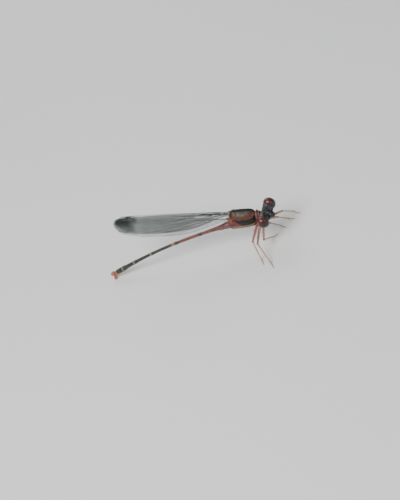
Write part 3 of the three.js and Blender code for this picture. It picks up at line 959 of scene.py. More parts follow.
@dataclass
class Head:
    """The hammer-shaped head: cranium, face, jaws, eyes, simple eyes and feelers, in the head's own frame."""

    place: HeadPlace = field(default_factory=HeadPlace)
    eye_at: tuple[float, float, float] = (0.1, 1.95, 0.05)
    eye_half: tuple[float, float, float] = (1.22, 1.03, 1.28)
    eye_edge: float = 1.42
    cranium_half: tuple[float, float, float] = (0.94, 1.5, 1.04)
    waist: float = 0.15
    rim: float = 1.3
    face_centre: tuple[float, float, float] = (0.7, 0.0, -0.4)
    face_lobes: tuple[Lobe, ...] = (
        Lobe((0.62, 0.0, 0.1), (0.5, 0.66, 0.5)),
        Lobe((0.85, 0.0, -0.2), (0.68, 0.66, 0.4)),
        Lobe((1.05, 0.0, -0.5), (0.56, 0.6, 0.24)),
        Lobe((1.12, 0.0, -0.78), (0.5, 0.62, 0.3)),
        Lobe((0.55, 0.85, -0.45), (0.45, 0.5, 0.42)),
        Lobe((0.55, -0.85, -0.45), (0.45, 0.5, 0.42)),
        Lobe((0.62, 0.48, -0.85), (0.5, 0.34, 0.42)),
        Lobe((0.62, -0.48, -0.85), (0.5, 0.34, 0.42)),
        Lobe((0.3, 0.0, -0.98), (0.75, 0.46, 0.33)),
    )
    face_soft: float = 0.022
    fur: Hairs = Hairs(240, 8, (8, 84), 0.2, (0.08, 0.22), 0.007)
    fur_soft: float = 0.035
    beads: tuple[tuple[float, float, float], ...] = ((0.66, 0.0, 0.68), (0.36, 0.2, 0.9), (0.36, -0.2, 0.9))
    bead_half: float = 0.08
    feeler_stations: tuple[float, ...] = (0, 0.1, 0.3, 0.36, 0.42, 0.8, 0.86, 0.92, 1.3, 1.8, 2.3)
    feeler_widths: tuple[float, ...] = (0.08, 0.1, 0.09, 0.055, 0.065, 0.06, 0.035, 0.024, 0.02, 0.015, 0.006)

    def placed(self, shell: Shell) -> Shell:
        """The same shell in the body's frame."""
        return shell.moved(self.place.to_body(shell.points))

    def cranium(self) -> Shell:
        """The bar between the eyes, whose half widths grow from its middle to its ends.

        They grow as 1 - waist * (1 - (y / rim)^2), so the bar is narrowest between the simple eyes.

        Returns:
            The painted bar, olive-grey behind and blue-black in front.
        """
        along = np.linspace(-1, 1, 150)[:, None] * self.cranium_half[1]
        t = np.linspace(0, FULL_TURN, 150, endpoint=False)[None, :]
        swell = 1 - self.waist * (1 - np.minimum(1, np.abs(along) / self.rim) ** 2)
        x = self.cranium_half[0] * swell * np.sign(np.cos(t)) * np.abs(np.cos(t)) ** 0.9
        z = 0.05 + self.cranium_half[2] * swell * np.sign(np.sin(t)) * np.abs(np.sin(t)) ** 0.9
        points = np.stack([x, along + 0 * t, z], -1)
        x, y, z = points[..., 0], points[..., 1], points[..., 2]
        crown = smooth(0.2, 0.6, z)
        lift = 0.09 * hump(0.42, 0.3, x) * hump(0, 0.42, y) * crown
        lift -= 0.05 * hump(-0.12, 0.05, x) * smooth(1.3, 1.1, np.abs(y)) * crown
        lift -= 0.05 * hump(1.36, 0.05, np.abs(y))
        lift += 0.05 * hump(-0.5, 0.16, x) * hump(0.62, 0.3, np.abs(y)) * crown
        points = points + lift[..., None] * vertex_normals(points)
        wobble = 0.06 * ripple(points, 0.5, 21)
        paint = coat_of(Tint.BLUE_BLACK, x.shape)
        behind = smooth(0.16, -0.1, x - 0.34 * np.abs(y) + 0.1 + wobble) * smooth(-0.5, 0.1, z)
        paint = blend(paint, Tint.OLIVE_GREY, behind)
        paint = blend(paint, Tint.OLIVE, 0.5 * behind * smooth(0.2, 0.7, ripple(points, 0.6, 23)))
        paint = blend(paint, Tint.BLACK, 0.7 * hump(1.36, 0.06, np.abs(y)))
        paint = blend(paint, Tint.TAN, 0.6 * smooth(-0.5, -0.8, z) * smooth(0.2, -0.2, x))
        return self.placed(Shell.from_grid(points, paint))

    def face(self) -> Shell:
        """The brow, the nose plate, the upper lip and the jaws.

        Returns:
            The painted face, with grooves between its plates.
        """
        points = swollen(self.face_centre, self.face_lobes, 170, 180, self.face_soft)
        x, y, z = points[..., 0], points[..., 1], points[..., 2]
        ahead = smooth(0.9, 1.1, x)
        nose_line = -0.42 - 0.06 * (1 - (y / 0.6) ** 2)
        lip_line = -0.66 - 0.05 * (1 - (y / 0.6) ** 2)
        lift = -0.04 * (hump(nose_line, 0.03, z) + hump(lip_line, 0.03, z)) * ahead
        points = points + lift[..., None] * vertex_normals(points)
        wobble = 0.04 * ripple(points, 0.5, 22)
        paint = coat_of(Tint.BLUE_BLACK, x.shape)
        # Blue-grey below the nose line: the plates' own tint with a painted reflection of their gloss.
        paint = blend(paint, Tint.BLUE_GREY_SHEEN, 0.8 * smooth(nose_line + 0.04, nose_line - 0.04, z) * ahead)
        paint = blend(paint, Tint.BLACK, 0.7 * hump(nose_line, 0.04, z) * ahead)
        paint = blend(paint, Tint.TAN, smooth(-0.55, -0.68, z + wobble) * smooth(0.42, 0.52, np.abs(y)))
        paint = blend(paint, Tint.TAN, 0.9 * smooth(-0.98, -1.06, z + wobble))
        return self.placed(Shell.from_grid(points, paint))

    def capsule(self) -> Shell:
        """The cranium and the face as one piece."""
        return joined([self.cranium(), self.face()])

    def eye(self, side: Side) -> Shell:
        """One compound eye: an ellipsoid a little flatter behind, red-brown above and dark elsewhere.

        Args:
            side: the side of the head that it is on.

        Returns:
            The painted eye, cut flat inside where it sits on the cranium.
        """
        lat = np.linspace(POLE, math.pi - POLE, 110)[:, None]
        lon = np.linspace(0, FULL_TURN, 140, endpoint=False)[None, :]
        ball = np.stack([np.sin(lat) * np.cos(lon), -np.cos(lat) + 0 * lon, np.sin(lat) * np.sin(lon)], -1)
        ball[..., 0] *= np.where(ball[..., 0] < 0, 0.94, 1.0)
        points = ball * np.array(self.eye_half) + np.array(self.eye_at)
        points[..., 1] = side.value * np.maximum(points[..., 1], self.eye_edge)
        front = ball[..., 0] * 0.7 - ball[..., 2] * 0.5 + ball[..., 1] * 0.35
        wobble = 0.08 * ripple(points, 0.9, 31)
        paint = coat_of(Tint.EYE_RED, front.shape)
        paint = blend(paint, Tint.EYE_DARK, 0.95 * smooth(-0.15, 0.6, front + wobble))
        # A rose tint on the top and back, towards the key lamp: a painted highlight.
        paint = blend(paint, Tint.ROSE, 0.3 * smooth(0.1, 0.8, ball[..., 2] * 0.8 - ball[..., 0] * 0.5))
        return self.placed(Shell.from_grid(points, paint))

    def simple_eyes(self) -> Shell:
        """The three clear beads on the crown.

        Returns:
            The beads.
        """
        made = []
        for at in self.beads:
            points = swollen(at, (Lobe(at, (self.bead_half,) * 3),), 16, 20, 0.01)
            made.append(Shell.from_grid(points, coat_of(Tint.TAN, points.shape[:2])))
        return self.placed(joined(made))

    def feeler(self, side: Side) -> Shell:
        """One feeler: a stout first joint, a longer second one and a hair-thin bristle.

        Args:
            side: the side of the head that it is on.

        Returns:
            The painted feeler, which sags towards its tip.
        """
        way = unit(np.array([0.85, 0.4 * side.value, 0.2]))
        s = np.linspace(0, self.feeler_stations[-1], 60)
        sag = -0.05 * UPWARD * (s[:, None] / 2.0) ** 2
        path = np.array([0.85, 0.42 * side.value, 0.3]) + way * s[:, None] + sag
        rings = rings_along(path, np.interp(s, self.feeler_stations, self.feeler_widths), 16)
        knot = 0.5 * hump(0.38, 0.05, s)[:, None] + 0 * rings[..., 0]
        paint = blend(coat_of(Tint.BLACK, rings.shape[:2]), Tint.TAN, knot)
        return self.placed(Shell.from_grid(rings, paint))

    def bristles(self) -> Shell:
        """Fine hairs on the face, the lip and the jaws."""
        return self.placed(self.fur.on(swollen(self.face_centre, self.face_lobes, 90, 100, self.fur_soft)))


@dataclass(frozen=True)
class Prong:
    """One clasper, by its middle line and half widths at the same shares of its length."""

    along: tuple[float, ...]
    out: tuple[float, ...]
    rise: tuple[float, ...]
    half: tuple[float, ...]
    shares: tuple[float, ...] = (0.0, 0.35, 0.75, 1.0)


def upper(way: Array) -> Array:
    """The way that is square to Y and to the given one, on the upper side."""
    over = np.cross(way, LEFTWARD)
    return over * np.sign(over[..., 2:])


@dataclass
class Abdomen:
    """The long slim tail of ten segments, and the claspers at its end."""

    lengths: tuple[float, ...] = (0.6, 1.2, 4.4, 5.5, 5.7, 4.3, 3.0, 1.05, 0.65, 0.5)
    radii: tuple[float, ...] = (0.66, 0.52, 0.33, 0.3, 0.29, 0.32, 0.4, 0.5, 0.5, 0.45)
    root: tuple[float, float] = (-3.4, -0.73)
    slopes: tuple[float, float] = (4.5, 21.0)
    waist_droop: float = 4.0
    waist_reach: float = 3.0
    gap: float = 0.3
    rows: int = 900
    columns: int = 56
    hairs: int = 420
    prongs: tuple[Prong, ...] = (
        Prong(
            along=(-0.4, 0.1, 0.42, 0.68),
            out=(0.18, 0.22, 0.28, 0.22),
            rise=(0.12, 0.17, 0.34, 0.4),
            half=(0.24, 0.27, 0.27, 0.13),
        ),
        Prong(
            along=(-0.4, 0.05, 0.42, 0.72),
            out=(0.16, 0.2, 0.26, 0.22),
            rise=(-0.16, -0.24, -0.6, -0.98),
            half=(0.24, 0.26, 0.26, 0.14),
        ),
    )

    @property
    def length(self) -> float:
        """The whole run from the thorax to the claspers."""
        return sum(self.lengths)

    @property
    def joints(self) -> Array:
        """The distance of each segment's end from the root."""
        return np.cumsum(self.lengths)

    def axis(self, s: Array) -> tuple[Array, Array]:
        """The middle line: its slope grows evenly along it, so its place is the sum of short steps.

        Args:
            s: distances from the root, negative inside the thorax.

        Returns:
            (n, 3) places and (n, 3) backward ways.
        """
        steps = np.linspace(-1.0, self.length + 2.0, 1500)
        slope = self.slopes[0] + (self.slopes[1] - self.slopes[0]) * steps / self.length
        slope = np.radians(slope + self.waist_droop * np.exp(-np.maximum(steps, 0) / self.waist_reach))
        size = steps[1] - steps[0]
        x = np.cumsum(-np.cos(slope)) * size
        z = np.cumsum(-np.sin(slope)) * size
        x, z = (a - np.interp(0.0, steps, a) for a in (x, z))
        x, z = (root + np.interp(s, steps, a) for root, a in zip(self.root, (x, z)))
        at = np.stack([x, 0 * s, z], -1)
        angle = np.interp(s, steps, slope)
        return at, np.stack([-np.cos(angle), 0 * s, -np.sin(angle)], -1)

    def half_width(self, s: Array) -> Array:
        """The radius: smooth from one segment to the next, swollen by each joint and pinched at it.

        Args:
            s: distances from the root.

        Returns:
            The half width at each distance.
        """
        ends = np.concatenate([[0.0], self.joints])
        middles = (ends[1:] + ends[:-1]) / 2
        half = curve((-0.6, *middles, self.length), (0.7, *self.radii, self.radii[-1] * 0.92), s)
        for i, joint in enumerate(self.joints[:-1]):
            flare = 0.05 if 1 < i < 7 else 0.02
            half += flare * (hump(joint - 0.22, 0.2, s) + 0.7 * hump(joint + 0.2, 0.14, s))
            half -= 0.035 * hump(joint, 0.05, s)
        return half

    def shell(self) -> Shell:
        """The tail: a tube along the axis, a little flat below, with a swelling under the second segment.

        Returns:
            The painted skin.
        """
        s = np.linspace(-0.5, self.length, self.rows)
        at, way = self.axis(s)
        t = np.linspace(0, FULL_TURN, self.columns, endpoint=False)
        down = np.maximum(0, -np.cos(t))[None, :]
        half = self.half_width(s)[:, None] * (1 - 0.07 * down**8)
        half = half + 0.16 * hump(1.45, 0.3, s)[:, None] * down**3
        ring = np.sin(t)[None, :, None] * LEFTWARD + 1.05 * np.cos(t)[None, :, None] * upper(way)[:, None]
        points = at[:, None] + ring * half[..., None]
        angle = np.degrees(np.arccos(np.cos(t)))[None, :] + 0 * half
        return Shell.from_grid(points, self.paint(points, s[:, None] + 0 * half, angle))

    def paint(self, points: Array, s: Array, angle: Array) -> Array:
        """Red to the fourth segment, green-black with pale rings behind it, and salmon at the end.

        Args:
            points: the skin's places, which the uneven field is read at.
            s: distances from the root.
            angle: degrees from the back's midline, on either side.

        Returns:
            Linear colours.
        """
        j = self.joints
        uneven = 0.06 * ripple(points, 0.7, 41)
        paint = coat_of(Tint.RED, s.shape)
        waist = smooth(j[1] + 0.9, j[1] - 0.1, s + uneven)
        paint = blend(paint, Tint.MAUVE, 0.75 * waist)
        paint = blend(paint, Tint.DARK_RED, 0.5 * waist * smooth(60, 20, angle))
        paint = blend(paint, Tint.BLACK, 0.5 * hump(j[1] - 0.1, 0.08, s) + 0.5 * hump(j[0], 0.06, s))
        paint = blend(paint, Tint.DARK_RED, 0.45 * hump(0, 16, angle) * smooth(j[1], j[1] + 0.5, s))
        for joint, width in ((j[2], 0.75), (j[3], 0.95)):
            paint = blend(paint, Tint.BLACK, smooth(joint - width, joint - width + 0.12, s + uneven))
            paint = blend(paint, Tint.RED, smooth(joint + 0.02, joint + 0.08, s))
        dark = smooth(j[3] + 0.75, j[3] + 1.5, s + uneven * 3)
        pale = smooth(j[3] + 0.03, j[3] + 0.1, s) * smooth(j[3] + 0.8, j[3] + 0.5, s)
        paint = blend(paint, Tint.PALE, 0.5 * pale)
        paint = blend(paint, Tint.DUSK, dark)
        paint = blend(paint, Tint.BLACK, 0.6 * dark * hump(0, 14, angle) + 0.4 * dark * hump(78, 16, angle))
        paint = blend(paint, Tint.SALMON, 0.4 * dark * smooth(120, 150, angle) * smooth(j[6], j[5], s))
        for joint, width in ((j[4], 0.18), (j[5], 0.14), (j[6], 0.1)):
            paint = blend(paint, Tint.BLACK, 0.85 * hump(joint - 0.35, 0.3, s))
            ring = smooth(joint - 0.02, joint + 0.03, s) * smooth(joint + width + 0.05, joint + width, s)
            paint = blend(paint, Tint.PALE, 0.85 * ring)
        paint = blend(paint, Tint.BLACK, 0.5 * smooth(j[6] + 0.2, j[6] + 0.3, s))
        paint = blend(paint, Tint.MAUVE, 0.3 * smooth(j[7] + 0.1, j[7] + 0.3, s) * smooth(30, 80, angle))
        paint = blend(paint, Tint.STRAW, 0.8 * hump(j[7] - 0.3, 0.25, s) * smooth(120, 140, angle))
        paint = blend(paint, Tint.SALMON, smooth(j[7] - 0.05, j[7] + 0.1, s) * smooth(95, 115, angle))
        return blend(paint, Tint.SALMON, smooth(j[8] - 0.02, j[8] + 0.06, s))

    def claspers(self) -> Shell:
        """Two upper prongs that rise and hook inwards, two lower ones that reach down, and a plate between.

        Returns:
            The painted prongs and plate.
        """
        at, way = (a[0] for a in self.axis(np.array([self.length + self.gap])))
        over = upper(way)
        share = np.linspace(0, 1, 40)
        middle = at + way * (0.95 * share[:, None] - 0.5) - over * (0.3 * share[:, None] ** 2)
        plate = rings_along(middle, 0.36 * (1 - share**6) ** 0.5 + 0.01, 30, up=LEFTWARD)
        shells = [Shell.from_grid(plate, coat_of(Tint.SALMON, plate.shape[:2]))]
        for side in Side:
            for prong in self.prongs:
                lines = (prong.along, prong.out, prong.rise, prong.half)
                a, o, r, h = (curve(prong.shares, line, share) for line in lines)
                path = at + way * a[:, None] + over * r[:, None] + side.value * LEFTWARD * o[:, None]
                rings = rings_along(path, h, 24, up=LEFTWARD)
                paint = coat_of(Tint.SALMON, rings.shape[:2])
                paint = blend(paint, Tint.RED, 0.5 * smooth(0.5, 0.2, share)[:, None] + 0 * rings[..., 0])
                paint = blend(paint, Tint.BLACK, 0.7 * smooth(0.93, 1.0, share)[:, None] + 0 * rings[..., 0])
                shells.append(Shell.from_grid(rings, paint))
        return joined(shells)

    def bristles(self) -> Shell:
        """Short hairs along the underside and round the tail's end.

        Returns:
            The hairs as thin cones that lean backwards.
        """
        draw = np.random.default_rng(13)
        s = draw.uniform(1.0, self.length, self.hairs)
        t = draw.normal(math.pi, 1.1, self.hairs)
        at, way = self.axis(s)
        out = np.sin(t)[:, None] * LEFTWARD + np.cos(t)[:, None] * upper(way)
        roots = at + out * (self.half_width(s) * 0.97)[:, None]
        ways = unit(out + 0.8 * way + draw.normal(0, 0.15, out.shape))
        tips = roots + ways * draw.uniform(0.08, 0.18, self.hairs)[:, None]
        return needles(roots, tips, np.full(self.hairs, 0.007), Tint.STRAW)


@dataclass(frozen=True)
class Vein:
    """One long vein: places along the span and, at each, how far across the chord it runs."""

    along: tuple[float, ...]
    across: tuple[float, ...]
    half: float = 0.022

    def across_at(self, u: Array) -> Array:
        """How far across the chord it is at a share of the span."""
        return curve(self.along, self.across, u)


@dataclass(frozen=True)
class WingPlan:
    """What sets a pair of wings apart from the other pair."""

    pair: str
    span: float
    root: tuple[float, float, float]
    out_y: float
    rise: dict[Side, float]


WING_PLANS: tuple[WingPlan, ...] = (
    WingPlan("fore", 23.4, (-1.9, 0.3, 1.6), 0.17, {Side.LEFT: 8.2, Side.RIGHT: 9.0}),
    WingPlan("hind", 22.4, (-2.55, 0.85, 0.97), 0.95, {Side.LEFT: 9.8, Side.RIGHT: 11.6}),
)


@dataclass(frozen=True)
class Strip:
    """The membrane between two neighbouring long veins, along the rungs that cross both.

    Each rung meets the front vein at the shares u0 and f0 of span and chord, and the back one at u1 and f1.
    """

    wing: "Wing"
    u0: Array
    u1: Array
    f0: Array
    f1: Array

    def place(self, share: float, jog: float, kink: float) -> Array:
        """Where each rung is at a share of its way from the front vein to the back one.

        Args:
            share: the share of the way.
            jog: how far it is moved out along the wing, as a share of the span.
            kink: how far it is moved back across the wing, in millimetres.

        Returns:
            (n, 3) body places.
        """
        across = self.f0 + (self.f1 - self.f0) * share + kink / np.maximum(self.wing.chord(self.u0), 0.3)
        along = np.minimum(self.u0 + (self.u1 - self.u0) * share + jog, 0.99)
        return self.wing.place(along, across)


@dataclass
class Wing:
    """One closed wing: a thin pleated membrane, its net of veins and its dark spot."""

    plan: WingPlan
    side: Side
    seed: int
    cell: float = 0.5
    slant: float = 0.55
    kink: float = 0.05
    thread: float = 0.019
    shares: tuple[float, ...] = (0, 0.05, 0.12, 0.2, 0.3, 0.43, 0.6, 0.76, 0.88, 0.96, 1)
    lead: tuple[float, ...] = (0.25, 0.32, 0.42, 0.5, 0.58, 0.65, 0.7, 0.71, 0.65, 0.48, -0.1)
    trail: tuple[float, ...] = (-0.25, -0.4, -0.85, -1.6, -2.45, -3.1, -3.4, -3.38, -2.97, -2.38, -1.6)
    tip_round: float = 0.3
    skin_half: float = 0.008
    first_rung: float = 0.1
    most_rows: int = 9
    veins: tuple[Vein, ...] = (
        Vein((0.0, 0.3, 0.6, 0.9, 0.999), (0.0, 0.0, 0.0, 0.0, 0.0), 0.035),
        Vein((0.0, 0.12, 0.25, 0.34), (0.2, 0.16, 0.08, 0.0), 0.024),
        Vein(
            (0.0, 0.1, 0.2, 0.35, 0.6, 0.85, 0.94, 0.985),
            (0.42, 0.32, 0.2, 0.13, 0.1, 0.1, 0.14, 0.3),
            0.034,
        ),
        Vein((0.16, 0.3, 0.5, 0.8, 0.93, 0.99), (0.3, 0.22, 0.19, 0.2, 0.27, 0.5), 0.024),
        Vein((0.62, 0.75, 0.88, 0.985), (0.26, 0.3, 0.38, 0.62), 0.017),
        Vein((0.5, 0.7, 0.88, 0.97), (0.24, 0.34, 0.47, 0.74), 0.022),
        Vein((0.35, 0.6, 0.8, 0.945), (0.26, 0.4, 0.54, 0.9), 0.018),
        Vein((0.3, 0.55, 0.75, 0.9, 0.925), (0.27, 0.46, 0.62, 0.9, 0.98), 0.022),
        Vein((0.16, 0.4, 0.65, 0.85, 0.88), (0.4, 0.53, 0.7, 0.95, 1.0), 0.022),
        Vein((0.0, 0.1, 0.2, 0.4, 0.6, 0.76, 0.78), (0.62, 0.6, 0.58, 0.66, 0.82, 0.98, 1.0), 0.026),
        Vein((0.18, 0.35, 0.5, 0.6), (0.7, 0.8, 0.92, 1.0), 0.02),
        Vein((0.0, 0.3, 0.6, 0.9, 0.999), (1.0, 1.0, 1.0, 1.0, 1.0), 0.03),
    )
    stigma: tuple[float, float] = (0.865, 0.91)

    @property
    def span(self) -> float:
        """The wing's length from root to tip."""
        return self.plan.span

    def place(self, u: Array, f: Array, lift: float | Array = 0.0) -> Array:
        """The place at a share u of the span and a share f of the chord, from the front edge.

        Args:
            u: shares along the wing, 0 at its root.
            f: shares across it, 0 at the front edge.
            lift: how far outwards from the membrane, in millimetres.

        Returns:
            Body places, with x, y and z on the last axis.
        """
        rise, root = math.radians(self.plan.rise[self.side]), self.plan.root
        back = np.array([-math.cos(rise), 0.0, math.sin(rise)])
        up = np.array([math.sin(rise), 0.0, math.cos(rise)])
        top, low = curve(self.shares, self.lead, u), curve(self.shares, self.trail, u)
        spread = smooth(0.0, 0.1, u)
        y = root[1] * (1 - spread) + self.plan.out_y * spread
        pleat = 0.05 * np.cos(f * 9 * math.pi) * np.exp(-2.2 * f) * smooth(0.0, 0.1, u)
        wave = 0.03 * np.sin(u * 17 + f * 5 + self.seed)
        out = y + pleat + wave + lift
        base = np.array([root[0], 0.0, root[2]])
        along = u * self.span - self.tip_round * (2 * f - 1) ** 2 * smooth(0.965, 1.0, u)
        flat = base + along[..., None] * back + (top - f * (top - low))[..., None] * up
        return flat + (self.side.value * out)[..., None] * LEFTWARD

    def chord(self, u: Array) -> Array:
        """The wing's width at a share of its span."""
        return curve(self.shares, self.lead, u) - curve(self.shares, self.trail, u)

    def smoke(self, u: Array, f: Array, points: Array) -> Array:
        """How dark the membrane is.

        Args:
            u: shares along the wing.
            f: shares across it.
            points: the places there, which the uneven field is read at.

        Returns:
            Values from 0 where it is clear to 1 near the tip's front edge.
        """
        uneven = 0.1 * ripple(points, 2.2, self.seed)
        end = smooth(0.75, 0.9, u + 0.3 * uneven - 0.05 * f) * (1 - 0.75 * smooth(0.25, 0.6, f))
        middle = 0.2 * smooth(0.15, 0.65, u) + uneven * smooth(0.2, 0.6, u)
        return np.clip(0.06 + middle + 0.9 * end, 0, 1)

    def glints(self, u: Array, f: Array) -> Array:
        """The painted glint of each small cell: pale spots between the slanting rungs, in rows across the
        wing, standing for light reflected off the membrane.

        Args:
            u: shares along the wing.
            f: shares across it.

        Returns:
            Values from 0 to 1 at the middle of a cell.
        """
        chord = self.chord(u)
        line = (u + self.slant * f * chord / self.span - self.first_rung) * self.span / self.cell
        spots = np.maximum(0, -np.cos(FULL_TURN * line)) * np.abs(np.sin(math.pi * f * chord / self.cell))
        return spots * smooth(0.12, 0.3, u) * smooth(0.9, 0.78, u)

    def membrane(self) -> Shell:
        """The clear skin, as one thin closed blade.

        Returns:
            The blade, with its smoke in the mask and a pale crescent at the tip.
        """
        u = np.linspace(0.0, 1.0, 480)[:, None]
        f = np.linspace(0.0, 1.0, 72)[None, :]
        u, f = np.broadcast_arrays(u, f)
        face, back = self.place(u, f, self.skin_half), self.place(u, f, -self.skin_half)
        points = np.concatenate([face, back[:, ::-1]], 1)
        smoke = self.smoke(u, f, face)
        gleam = self.glints(u, f)
        crescent = smooth(0.982, 0.99, u) * hump(0.45, 0.4, f)
        paint = blend(coat_of(Tint.SMOKE, u.shape), Tint.SMOKE_DARK, smooth(0.3, 0.7, smoke))
        # The glints are painted reflections: the cells are made paler and clearer where they gleam.
        paint = blend(paint, Tint.GLEAM, np.maximum(0.25 * gleam, 0.6 * crescent))
        alpha = np.clip((0.035 + 0.34 * smoke) * (1 - 0.5 * crescent) * (1 - 0.6 * gleam), 0, 1)
        colours = np.concatenate([paint, paint[:, ::-1]], 1)
        masks = np.concatenate([alpha, alpha[:, ::-1]], 1)
        return Shell.from_grid(points, colours, masks)

    def net(self) -> Shell:
        """The veins: long ones as tubes, with rows of small cells between each two neighbours."""
        return joined([*(self.long_vein(v) for v in self.veins), self.cells(), self.spot()])

    def rungs(self) -> tuple[Array, Array]:
        """Where slanting lines, one cell apart, cross each vein.

        A line that starts at share u0 of the span reaches the share f of the chord at
        u = u0 - slant * f * chord(u) / span, which a few rounds of putting u back in settle.

        Returns:
            Two (lines, veins) arrays of the shares u and f, sorted from the front edge back, with f infinite
            where a line misses a vein.
        """
        start = np.arange(self.first_rung, 1.1, self.cell / self.span)
        u, f = np.empty((2, len(start), len(self.veins)))
        for k, vein in enumerate(self.veins):
            at = start.copy()
            for _ in range(5):
                across = vein.across_at(at)
                at = start - self.slant * across * self.chord(at) / self.span
            met = (at >= max(vein.along[0], 0.08)) & (at <= min(vein.along[-1], 0.988))
            u[:, k], f[:, k] = at, np.where(met, across, np.inf)
        order = np.argsort(f, axis=1)
        return np.take_along_axis(u, order, 1), np.take_along_axis(f, order, 1)

    def cells(self) -> Shell:
        """The net of thin veins: rungs between the long ones, with zigzag threads where a strip is wide.

        In a strip of n rows, the rungs of every other row stand half a cell further out, and each thread runs
        from the foot of one row's rung to the head of the next row's, which makes six-sided cells.

        Returns:
            The net as rods.
        """
        u, f = self.rungs()
        half_cell = 0.5 * self.cell / self.span
        starts, ends = [], []
        for k in range(len(self.veins) - 1):
            met = np.isfinite(f[:, k + 1])
            strip = Strip(self, u[met, k], u[met, k + 1], f[met, k], f[met, k + 1])
            width = (strip.f1 - strip.f0) * self.chord((strip.u0 + strip.u1) / 2)
            rows = np.clip(np.round(width / (0.95 * self.cell)), 1, self.most_rows).astype(int)
            for n in range(1, self.most_rows + 1):
                here = (width > 0.05) & (rows == n)
                pair = here[:-1] & here[1:] & (np.diff(strip.u0) < 3 * half_cell)
                for row in range(n):
                    jog = half_cell * (row % 2)
                    starts.append(strip.place(row / n, jog, self.kink if row else 0.0)[here])
                    ends.append(strip.place((row + 1) / n, jog, -self.kink if row < n - 1 else 0.0)[here])
                for row in range(1, n):
                    kink = self.kink if row % 2 else -self.kink
                    straight = strip.place(row / n, 0.0, -kink)
                    jogged = strip.place(row / n, half_cell, kink)
                    starts += [straight[here], jogged[:-1][pair]]
                    ends += [jogged[here], straight[1:][pair]]
        first, last = np.vstack(starts), np.vstack(ends)
        return struts(first, last, np.full(len(first), self.thread), Tint.VEIN)

    def long_vein(self, vein: Vein) -> Shell:
        """One long vein as a tapering tube along the membrane.

        Args:
            vein: its line and half width.

        Returns:
            The tube.
        """
        u = np.linspace(vein.along[0], vein.along[-1], 90)
        rings = rings_along(self.place(u, vein.across_at(u)), vein.half * (1.25 - 0.6 * u), 6, up=LEFTWARD)
        return Shell.from_grid(rings, coat_of(Tint.VEIN, rings.shape[:2]))

    def spot(self) -> Shell:
        """The thick dark cell at the front edge near the tip.

        Returns:
            A closed pad, domed on both faces.
        """
        s, t = np.linspace(0, 1, 14)[:, None], np.linspace(0, 1, 9)[None, :]
        half = 0.015 + 0.03 * np.sin(math.pi * s) * np.sin(math.pi * t)
        begin, end = self.stigma
        u, f = np.broadcast_arrays(begin + (end - begin) * s, 0.005 + 0.09 * t)
        points = np.concatenate([self.place(u, f, half), self.place(u, f, -half)[:, ::-1]], 1)
        return Shell.from_grid(points, coat_of(Tint.BLACK, points.shape[:2]))


# The way that the rings and spines of the legs are set out from, which no leg runs along.
LEG_UP = np.array([0.31, 0.17, 0.93])


@dataclass(frozen=True)
class SpineRow:
    """Spines along a leg, from one value of its path to another."""

    low: float
    high: float
    count: int
    length: float


